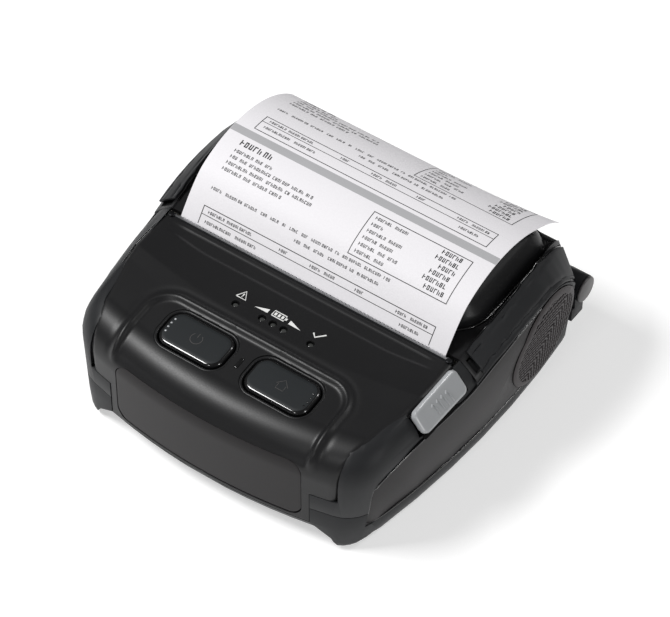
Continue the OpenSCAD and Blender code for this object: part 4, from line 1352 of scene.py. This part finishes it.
@dataclass
class LabelStrip:
    """Printed strip that runs from the nip over the dome, with two labels on their liner."""

    half: float = 56.0
    thick: float = 0.2
    centre: Point = (32.5, 23.5)
    radius: float = 45.0
    start: float = 117.0
    end: float = 43.4
    exit: Point = (-1.5, 49.2)

    def path(self) -> list[Point]:
        """Side view of the strip.

        Returns:
            Closely spaced (y, z) points, from the nip over the dome.
        """
        a = math.radians(self.start)
        landing = (self.centre[0] + self.radius * math.cos(a), self.centre[1] + self.radius * math.sin(a))
        ctrl = (landing[0] - 5.8 * math.sin(a), landing[1] + 5.8 * math.cos(a))
        points = [(-3.65, 41.0), (-3.65, 43.0), (-3.65, 45.0)]
        for k in range(13):
            t = k / 12
            points.append(tuple((1 - t) ** 2 * p + 2 * t * (1 - t) * q + t * t * r
                                for p, q, r in zip(self.exit, ctrl, landing)))
        for k in range(1, 61):
            b = math.radians(self.start + (self.end - self.start) * k / 60)
            y, z = self.radius * math.cos(b), self.radius * math.sin(b)
            points.append((self.centre[0] + y, self.centre[1] + z))
        return points

    def __post_init__(self) -> None:
        """Measures the path once."""
        self.points = self.path()
        self.lengths = running_lengths(self.points)
        self.total = self.lengths[-1]

    def at(self, x: float, s: float, lift: float = 0.0) -> Place:
        """Place on the strip.

        Args:
            x: distance to the right of the middle.
            s: distance along the strip from its lower end.
            lift: height above the paper.

        Returns:
            The place, with the free corner's slight curl.
        """
        s = min(max(s, 0.0), self.total)
        k, t = stretch_at(self.lengths, s)
        p, q = self.points[k], self.points[k + 1]
        dy, dz = q[0] - p[0], q[1] - p[1]
        size = math.hypot(dy, dz)
        ny, nz = -dz / size, dy / size
        curl = max(0, x / self.half) ** 3 * ramp(s, self.total - 18, self.total)
        lift += self.thick / 2 + curl * 1.8
        spill = 2.6 * curl
        return (x, p[0] + dy * t + ny * lift + nz * spill, p[1] + dz * t + nz * lift - ny * spill)

    def build(self) -> None:
        """Lays the paper and prints it."""
        strip = grid("label_paper", 56, 110,
                     lambda u, v: self.at((u - 0.5) * 2 * self.half, v * self.total), self.thick)
        settle(strip, Finish.PAPER, "cover", "paper", "label_strip", angle=40)
        LabelPrint(self).build()


@dataclass
class LabelPrint:
    """Generic print on the labels: rules, boxes and bars that stand for lines of text."""

    strip: LabelStrip
    first: float = 6.6
    length: float = 38.5
    band: float = 3.2
    marks: list[tuple[float, float, float, float]] = field(default_factory=list)

    def bar(self, x0: float, s0: float, x1: float, s1: float) -> None:
        """Notes a printed bar between two corners, given as (across, along)."""
        self.marks.append((x0, s0, x1, s1))

    def frame(self, x0: float, s0: float, x1: float, s1: float, width: float = 0.3) -> None:
        """Notes a ruled box.

        Args:
            x0: its left edge.
            s0: its lower edge.
            x1: its right edge.
            s1: its upper edge.
            width: how wide the rules are.
        """
        self.bar(x0, s0, x1, s0 + width)
        self.bar(x0, s1 - width, x1, s1)
        self.bar(x0, s0, x0 + width, s1)
        self.bar(x1 - width, s0, x1, s1)

    def words(self, x: float, s: float, lengths: Sequence[float], height: float = 1.1) -> None:
        """Notes a line of greeked words, each broken into letter-like strokes.

        Args:
            x: the line's left end.
            s: its foot.
            lengths: how long each word is.
            height: how high its marks are.
        """
        for k, length in enumerate(lengths):
            pos = x
            j = k
            cell, thick = height * 0.58, height * 0.2
            while pos + cell < x + length:
                # Each mark is a small block of strokes, like print too far off to read.
                self.bar(pos, s, pos + thick, s + height)
                if j % 3:
                    self.bar(pos + cell - thick, s, pos + cell, s + height * (1.0 if j % 4 else 0.7))
                if j % 2:
                    self.bar(pos, s + height - thick, pos + cell, s + height)
                if (j // 2) % 2:
                    self.bar(pos, s, pos + cell, s + thick)
                if j % 5 == 0:
                    self.bar(pos, s + height * 0.42, pos + cell, s + height * 0.42 + thick)
                pos += cell + height * 0.24
                j += 7
            x += length + 1.1

    def label(self, s0: float) -> None:
        """Notes one label's layout.

        Args:
            s0: the label's lower edge.
        """
        # A ruled table at the foot, with the remittance lines over it.
        self.frame(-49, s0 + 1.5, 49, s0 + 9.5)
        self.bar(-49, s0 + 6.2, 49, s0 + 6.45)
        for x, s, lengths in ((-46.5, 7.2, (7, 11)), (-16, 7.2, (4,)), (-3, 7.2, (5, 5)), (16, 7.2, (4,)),
                              (33, 7.2, (5, 7)), (-46.5, 3.6, (12, 9)), (36, 3.6, (8,)),
                              (-49, 15.6, (5, 7, 6, 3, 4, 2, 4, 3, 9, 2, 8, 7, 3)),
                              (-12, 12.6, (3, 3, 5, 8, 2, 9))):
            self.words(x, s0 + s, lengths)
        # Heading and address block.
        self.words(-49, s0 + 34.4, (9, 5), 2.3)
        for k, lengths in enumerate([(8, 3, 3), (3, 3, 9, 7, 5, 3), (9, 6, 7, 2, 8), (8, 3, 6, 5)]):
            self.words(-49, s0 + 31.2 - 2.6 * k, lengths, 1.25)
        # Ruled box with two columns.
        self.frame(8, s0 + 17.8, 49, s0 + 35.6)
        for k, (left, right) in enumerate([((7, 6), 9), ((5,), 10), ((8, 6), 7), ((6, 6), 9), ((7, 3, 4), 10),
                                           ((7, 4), 8)]):
            row = s0 + 33.0 - 2.75 * k
            self.words(10, row, left, 1.2)
            self.words(46.5 - right, row, (right,), 1.7)

    def build(self) -> None:
        """Turns the noted bars into one thin printed layer."""
        gap = self.first + self.length
        for edge in (self.first, gap + self.band):
            self.label(edge)
        verts: list[Place] = []
        faces: list[list[int]] = []
        for x0, s0, x1, s1 in self.marks:
            if s0 > self.strip.total - 1.2:
                continue
            s1 = min(s1, self.strip.total - 1.0)
            rows = max(1, int((s1 - s0) / 1.5))
            base = len(verts)
            for k in range(rows + 1):
                s = s0 + (s1 - s0) * k / rows
                verts += [self.strip.at(x0, s, 0.035), self.strip.at(x1, s, 0.035)]
            faces += [[base + n for n in f] for f in quads(rows + 1, 2)]
        settle(raw_mesh("label_print", verts, faces), Finish.PRINT, "cover", "paper")
        liner = grid("liner_band", 30, 4,
                     lambda u, v: self.strip.at((u - 0.5) * 2 * 55.9, gap + self.band * v, 0.02))
        settle(liner, Finish.LINER, "cover", "paper")


# Release button


@dataclass
class ReleaseButton:
    """Silver latch button on the right rail, with a raised open sign."""

    form: BodyForm = FORM
    length: float = 25.0
    width: float = 9.6
    y: float = -17.4
    z: float = 45.2
    tilt: float = 51.0

    def place(self, x: float, y: float, z: float) -> Place:
        """Turns a place in the button's tilted frame into one in the part's frame.

        Args:
            x: across the plate, down the rail's slope.
            y: along it.
            z: out of it.

        Returns:
            The place, on a plate that is a little wider at its rear.
        """
        a = math.radians(self.tilt)
        x *= 1 + 0.04 * y / 12.5
        cx = self.form.half_width(self.y) - 4.1
        return (cx + x * math.cos(a) + z * math.sin(a), self.y + y,
                self.z - x * math.sin(a) + z * math.cos(a))

    def build(self) -> None:
        """Plate with rounded edges, then the sign's loops."""
        rings = []
        for inset, height in ((0.8, -1.6), (0.8, 0.1), (0.0, 0.1), (0.0, 1.3), (0.2, 1.75), (0.6, 1.98),
                              (1.3, 2.02)):
            outline = rounded(self.width - 2 * inset, self.length - 2 * inset, 2.2 - inset * 0.6, 8)
            rings.append([self.place(x, y, height) for x, y in outline])
        plate = stack("release_plate", rings)
        settle(plate, Finish.SILVER, "release", "silver", "release_button", angle=35)
        # Painted shade: a near-black block stands in the slot that the plate's lower edge slides into, for
        # the shadow in it.
        low = [self.place(x, y, -0.9) for x, y in ((4.9, -12.2), (6.4, -12.2), (6.4, 12.2), (4.9, 12.2))]
        rise = Vector(self.place(4.9, -12.2, 0.2)) - Vector(low[0])
        settle(prism("release_slot_shade", low, tuple(rise)), Finish.HOLLOW, "chassis", "case")
        up = Vector(self.place(0, 0, 1)) - Vector(self.place(0, 0, 0))
        section = [(-0.4, -0.1), (0.4, -0.1), (0.22, 0.4), (-0.22, 0.4)]
        parts = []
        for k in range(4):
            y0 = -4.6 + 2.6 * k
            line = [(-1.1, y0 + 0.1), (-2.0, y0 + 0.7), (-1.2, y0 + 1.4), (2.9, y0 + 1.7)]
            path = [self.place(x + 0.15 * k, y, 2.02) for x, y in line]
            parts.append(sweep("loop", path, section, up))
        settle(join("release_sign", parts), Finish.SILVER, "release", "silver", angle=40)


# Side walls


@dataclass
class SideWalls:
    """Grip pads and the beads that line the rails."""

    form: BodyForm = FORM
    pad_y: float = 42.5
    pad_z: float = 26.0
    pad_half: Point = (20.5, 19.2)
    pad_proud: float = 0.78
    # The real dimples are about as far apart, and their depth is a guess.
    dimple_pitch: Point = (2.2, 1.7)
    dimple_depth: float = 0.7

    def wall_x(self, y: float, z: float) -> float:
        """Distance of the side wall's surface from the middle plane."""
        inset = lookup(z, [(0, 6.2), (2.5, 3.8), (6, 2.8), (38, 0), (47.6, 0.8)])
        return self.form.half_width(y) - inset

    def dimple(self, y: float, z: float) -> float:
        """Depth of the grip's dimples, in bent rows that nest like chevrons.

        Args:
            y: place on the pad.
            z: its height.

        Returns:
            The depth, and nothing near the pad's rim.
        """
        dy, dz = y - self.pad_y, z - self.pad_z
        if math.hypot(dy / (self.pad_half[0] - 2.4), dz / (self.pad_half[1] - 2.4)) > 1:
            return 0.0
        along, across = dy * 0.72 + dz * 0.69, -dy * 0.69 + dz * 0.72
        ways = (along + 0.45 * abs(across) ** 1.2, across)
        # Distance from the middle of the nearest dimple.
        off = [((way / pitch % 1.0) - 0.5) * pitch for way, pitch in zip(ways, self.dimple_pitch)]
        return self.dimple_depth * (1 - ramp(math.hypot(*off), 0.52, 0.76))

    def build_pad(self, sx: int, side: str) -> None:
        """One rubber pad, dimpled, its rim thinned.

        Args:
            sx: 1 on the right, and -1 on the left.
            side: the side's name.
        """
        def place(u: float, v: float) -> Place:
            """Place on the pad, its grid squeezed onto an ellipse.

            Args:
                u: along the pad, from 0 to 1.
                v: up the pad, from 0 to 1.

            Returns:
                The place in millimetres.
            """
            a, b = (u - 0.5) * 2, (v - 0.5) * 2
            ex, ez = a * math.sqrt(1 - b * b / 2), b * math.sqrt(1 - a * a / 2)
            y, z = self.pad_y + ex * self.pad_half[0], self.pad_z + ez * self.pad_half[1]
            proud = self.pad_proud * (1 - max(0, (math.hypot(ex, ez) - 0.9) / 0.1) ** 2 * 0.75)
            return (sx * (self.wall_x(y, z) + proud - self.dimple(y, z)), y, z)

        pad = grid(f"pad_{side}", 200, 200, place)
        if sx < 0:
            pad.data.flip_normals()
        modifier(pad, "SOLIDIFY", thickness=1.2 * MM, offset=-1.0)
        settle(pad, Finish.GRIP, "chassis", "grip", f"grip_pad_{side}", angle=50)
        # Painted shade: the faces down in the dimples take the near-black finish.
        inlay(pad, Finish.HOLLOW, lambda spot: self.dimple(spot.y / MM, spot.z / MM) > 0.3)

    def build_bead(self, sx: int, side: str) -> None:
        """Polished bead in the groove between the panel and the rail.

        Args:
            sx: 1 on the right, and -1 on the left.
            side: the side's name.
        """
        path = []
        total = self.form.profile_length
        start = self.form.corner_top - self.form.foot + 0.4
        panel = OperatorPanel()
        for k in range(90):
            x, y, z = panel.surface(1.0, (start + (total - start) * k / 89) / total, total)
            path.append((sx * (x + 0.2), y, z + 0.35))
        bead = sweep(f"panel_bead_{side}", path, tube(0.42), Vector((sx * 0.3, -0.4, 1)))
        settle(bead, Finish.GLOSS, "chassis", "panel", angle=60)

    def build_seam(self, sx: int, side: str) -> None:
        """Dark polished line in the joint round a side plate.

        Args:
            sx: 1 on the right, and -1 on the left.
            side: the side's name.
        """
        corners = [(67.4, 30.7, 10.1), (67.2, 8.0, 10.4), (65.9, -11.0, 10.6), (63.6, -29.4, 10.8),
                   (60.9, -44.7, 10.9), (58.4, -52.2, 11.4), (59.4, -51.9, 18.0), (60.5, -51.0, 28.6),
                   (61.6, -49.6, 31.0), (62.5, -47.2, 33.2), (65.4, -33.0, 37.9), (66.3, -26.0, 38.9),
                   (67.6, -15.0, 39.5), (68.5, -3.8, 40.2), (69.05, 7.4, 42.7), (69.3, 15.0, 44.0),
                   (69.3, 23.2, 44.8), (69.1, 31.0, 45.1), (68.9, 39.0, 45.1)]
        spots = [Vector(c) for c in corners]
        path = []
        for before, near, far, after in zip([spots[0]] + spots, spots, spots[1:], spots[2:] + [spots[-1]]):
            for k in range(5):
                t = k / 5
                # A spline through the joint's corners keeps the line smooth.
                point = 0.5 * (2 * near + (far - before) * t
                               + (2 * before - 5 * near + 4 * far - after) * t ** 2
                               + (3 * near - before - 3 * far + after) * t ** 3)
                path.append((sx * (point.x + 0.02), point.y, point.z))
        seam = sweep(f"side_seam_{side}", path, tube(0.36), Vector((sx, 0, 0.2)))
        settle(seam, Finish.GLOSS, "chassis", "warm", angle=60)

    def build(self) -> None:
        """Builds both sides."""
        for sx, side in SIDES:
            self.build_pad(sx, side)
            self.build_bead(sx, side)
            self.build_seam(sx, side)


# Carried-over CAD


@dataclass
class CarriedNodes:
    """Nodes whose shape is right: shells get rounded edges, inner pieces a finish."""

    rounded: dict[str, tuple[Finish, float]] = field(default_factory=lambda: {
        "lower_case": (Finish.RAIL, 0.3), "upper_case": (Finish.RAIL, 0.25),
        "cover_shell": (Finish.PANEL, 0.25),
        "side_panel_left": (Finish.PLATE, 0.9), "side_panel_right": (Finish.PLATE, 0.9),
        "cover_hinges": (Finish.GLOSS, 0.4), "hinge_end_caps": (Finish.CAP, 0.5),
        "battery_pack": (Finish.PACK, 0.5), "port_cover": (Finish.GRIP, 0.35),
        "roll_bay": (Finish.INSIDE, 0.0), "case_screws": (Finish.BLACKED, 0.15),
        "tear_bar_screws": (Finish.BLACKED, 0.12), "stepper_motor": (Finish.ZINC, 0.4),
        "platen_cheeks": (Finish.INSIDE, 0.15), "head_bracket": (Finish.ZINC, 0.1),
        "head_heatsink": (Finish.ALUMINIUM, 0.2), "media_sensor": (Finish.CHIP, 0.2),
        "latch_arms": (Finish.ZINC, 0.1), "gear_plate": (Finish.ZINC, 0.1),
    })
    plain: dict[str, Finish] = field(default_factory=lambda: {
        "button_board": Finish.LAMINATE, "main_board": Finish.LAMINATE, "tact_switches": Finish.ZINC,
        "indicator_leds": Finish.LED, "board_parts": Finish.CHIP, "print_head": Finish.CERAMIC,
        "head_springs": Finish.ZINC, "motor_pinion": Finish.BRASS, "idler_gear": Finish.ACETAL,
        "platen_gear": Finish.ACETAL, "platen_bushes": Finish.ACETAL, "latch_shaft": Finish.STEEL,
        "release_spring": Finish.ZINC, "paper_roll": Finish.PAPER, "roll_core": Finish.CORE,
        "paper_web": Finish.PAPER, "battery_terminals": Finish.BRASS, "hinge_pin": Finish.STEEL,
        "charge_jack": Finish.CHIP, "data_socket": Finish.ZINC, "platen_roller": Finish.RUBBER,
        "platen_shaft": Finish.STEEL,
    })

    def build(self) -> None:
        """Rounds and dresses them all."""
        nodes = frame["nodes"]
        slots = {item["node"]: item["material_slot"] for item in frame["record"]["subparts"]}
        for name, (finish, width) in self.rounded.items():
            node = nodes[name]
            copy = link(bpy.data.objects.new(f"{name}_shell", node.data.copy()))
            with editing(copy) as mesh:
                bmesh.ops.remove_doubles(mesh, verts=mesh.verts, dist=MERGE * MM)
                bmesh.ops.dissolve_limit(mesh, angle_limit=math.radians(1.0), verts=mesh.verts,
                                         edges=mesh.edges)
            if width:
                modifier(copy, "BEVEL", width=width * MM, segments=2, limit_method="ANGLE",
                         angle_limit=math.radians(35), use_clamp_overlap=True)
            settle(copy, finish, node["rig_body"], slots[name], name, angle=34)
        for name, finish in self.plain.items():
            finish.dress(nodes[name])


# Studio


@dataclass
class Studio:
    """Pale floor, soft lamps and the camera at the photograph's angle."""

    azimuth: float = 35.4
    elevation: float = 48.46
    target: Place = (3.33, 7.93, 30.0)
    distance: float = 1241.0
    focal: float = 190.83

    def build_camera(self) -> None:
        """A long lens, far off, as the photograph was taken."""
        a, e = math.radians(self.azimuth), math.radians(self.elevation)
        back = Vector((math.sin(a) * math.cos(e), -math.cos(a) * math.cos(e), math.sin(e)))
        data = bpy.data.cameras.new("camera")
        data.lens = self.focal
        data.sensor_width = 36.0
        data.clip_end = 20.0
        camera = link(bpy.data.objects.new("camera", data))
        camera.location = (Vector(self.target) + back * self.distance) * MM
        camera.rotation_euler = back.to_track_quat("Z", "Y").to_euler()
        bpy.context.scene.camera = camera

    def lamp(self, name: str, place: Place, size: Point, power: float) -> None:
        """A rectangular soft lamp that looks at the printer.

        Args:
            name: its name.
            place: where it stands.
            size: its width and height.
            power: its watts.
        """
        data = bpy.data.lights.new(name, "AREA")
        data.shape = "RECTANGLE"
        data.size, data.size_y = size[0] * MM, size[1] * MM
        data.energy = power
        lamp = link(bpy.data.objects.new(name, data))
        lamp.location = Vector(place) * MM
        aim = Vector(place) - Vector((0, 0, 30))
        lamp.rotation_euler = aim.to_track_quat("Z", "Y").to_euler()

    def build(self) -> None:
        """Sets the stage."""
        self.build_camera()
        deselect()
        bpy.ops.mesh.primitive_plane_add(size=6)
        floor = bpy.context.object
        floor.name = "floor"
        material, tree = new_material("pale studio floor")
        path = add_node(tree, "ShaderNodeLightPath")
        direct = add_node(tree, "ShaderNodeMath", operation="MAXIMUM",
                          links={0: path.outputs["Is Camera Ray"], 1: path.outputs["Is Glossy Ray"]})
        seen = add_node(tree, "ShaderNodeMath", operation="MAXIMUM",
                        links={0: direct.outputs[0], 1: path.outputs["Is Transmission Ray"]})
        plain = add_node(tree, "ShaderNodeBsdfDiffuse", {"Color": linear("#f4f4f4")})
        shown = add_node(tree, "ShaderNodeBsdfDiffuse", {"Color": linear("#d0d0d0")})
        bright = add_node(tree, "ShaderNodeEmission", {"Color": (1, 1, 1, 1), "Strength": 0.5})
        both = add_node(tree, "ShaderNodeAddShader", links={0: shown.outputs[0], 1: bright.outputs[0]})
        pick = add_node(tree, "ShaderNodeMixShader", links={0: seen.outputs[0], 1: plain.outputs[0],
                                                            2: both.outputs[0]})
        add_node(tree, "ShaderNodeOutputMaterial", links={"Surface": pick.outputs[0]})
        floor.data.materials.append(material)
        world = bpy.data.worlds.new("studio")
        bpy.context.scene.world = world
        world.use_nodes = True
        tree = world.node_tree
        tree.nodes.clear()
        shade = add_node(tree, "ShaderNodeBackground", {"Color": linear("#f2f2f2"), "Strength": 0.12})
        add_node(tree, "ShaderNodeOutputWorld", links={"Surface": shade.outputs[0]})
        self.lamp("key", (-520, -380, 930), (420, 260), 11.5)
        self.lamp("roll", (110, -860, 630), (180, 60), 1.1)
        self.lamp("rim", (520, 640, 820), (80, 420), 2.5)
        self.lamp("side", (950, -150, 420), (60, 420), 2.0)
        bpy.context.scene.view_settings.view_transform = "Standard"


def main() -> None:
    """Builds the sub-assemblies in order."""
    logging.basicConfig(level=logging.INFO, format="%(message)s")
    Studio().build()
    CarriedNodes().build()
    OperatorPanel().build()
    TearBar().build()
    Cover().build()
    LabelStrip().build()
    ReleaseButton().build()
    SideWalls().build()


if __name__ == "__main__":
    main()
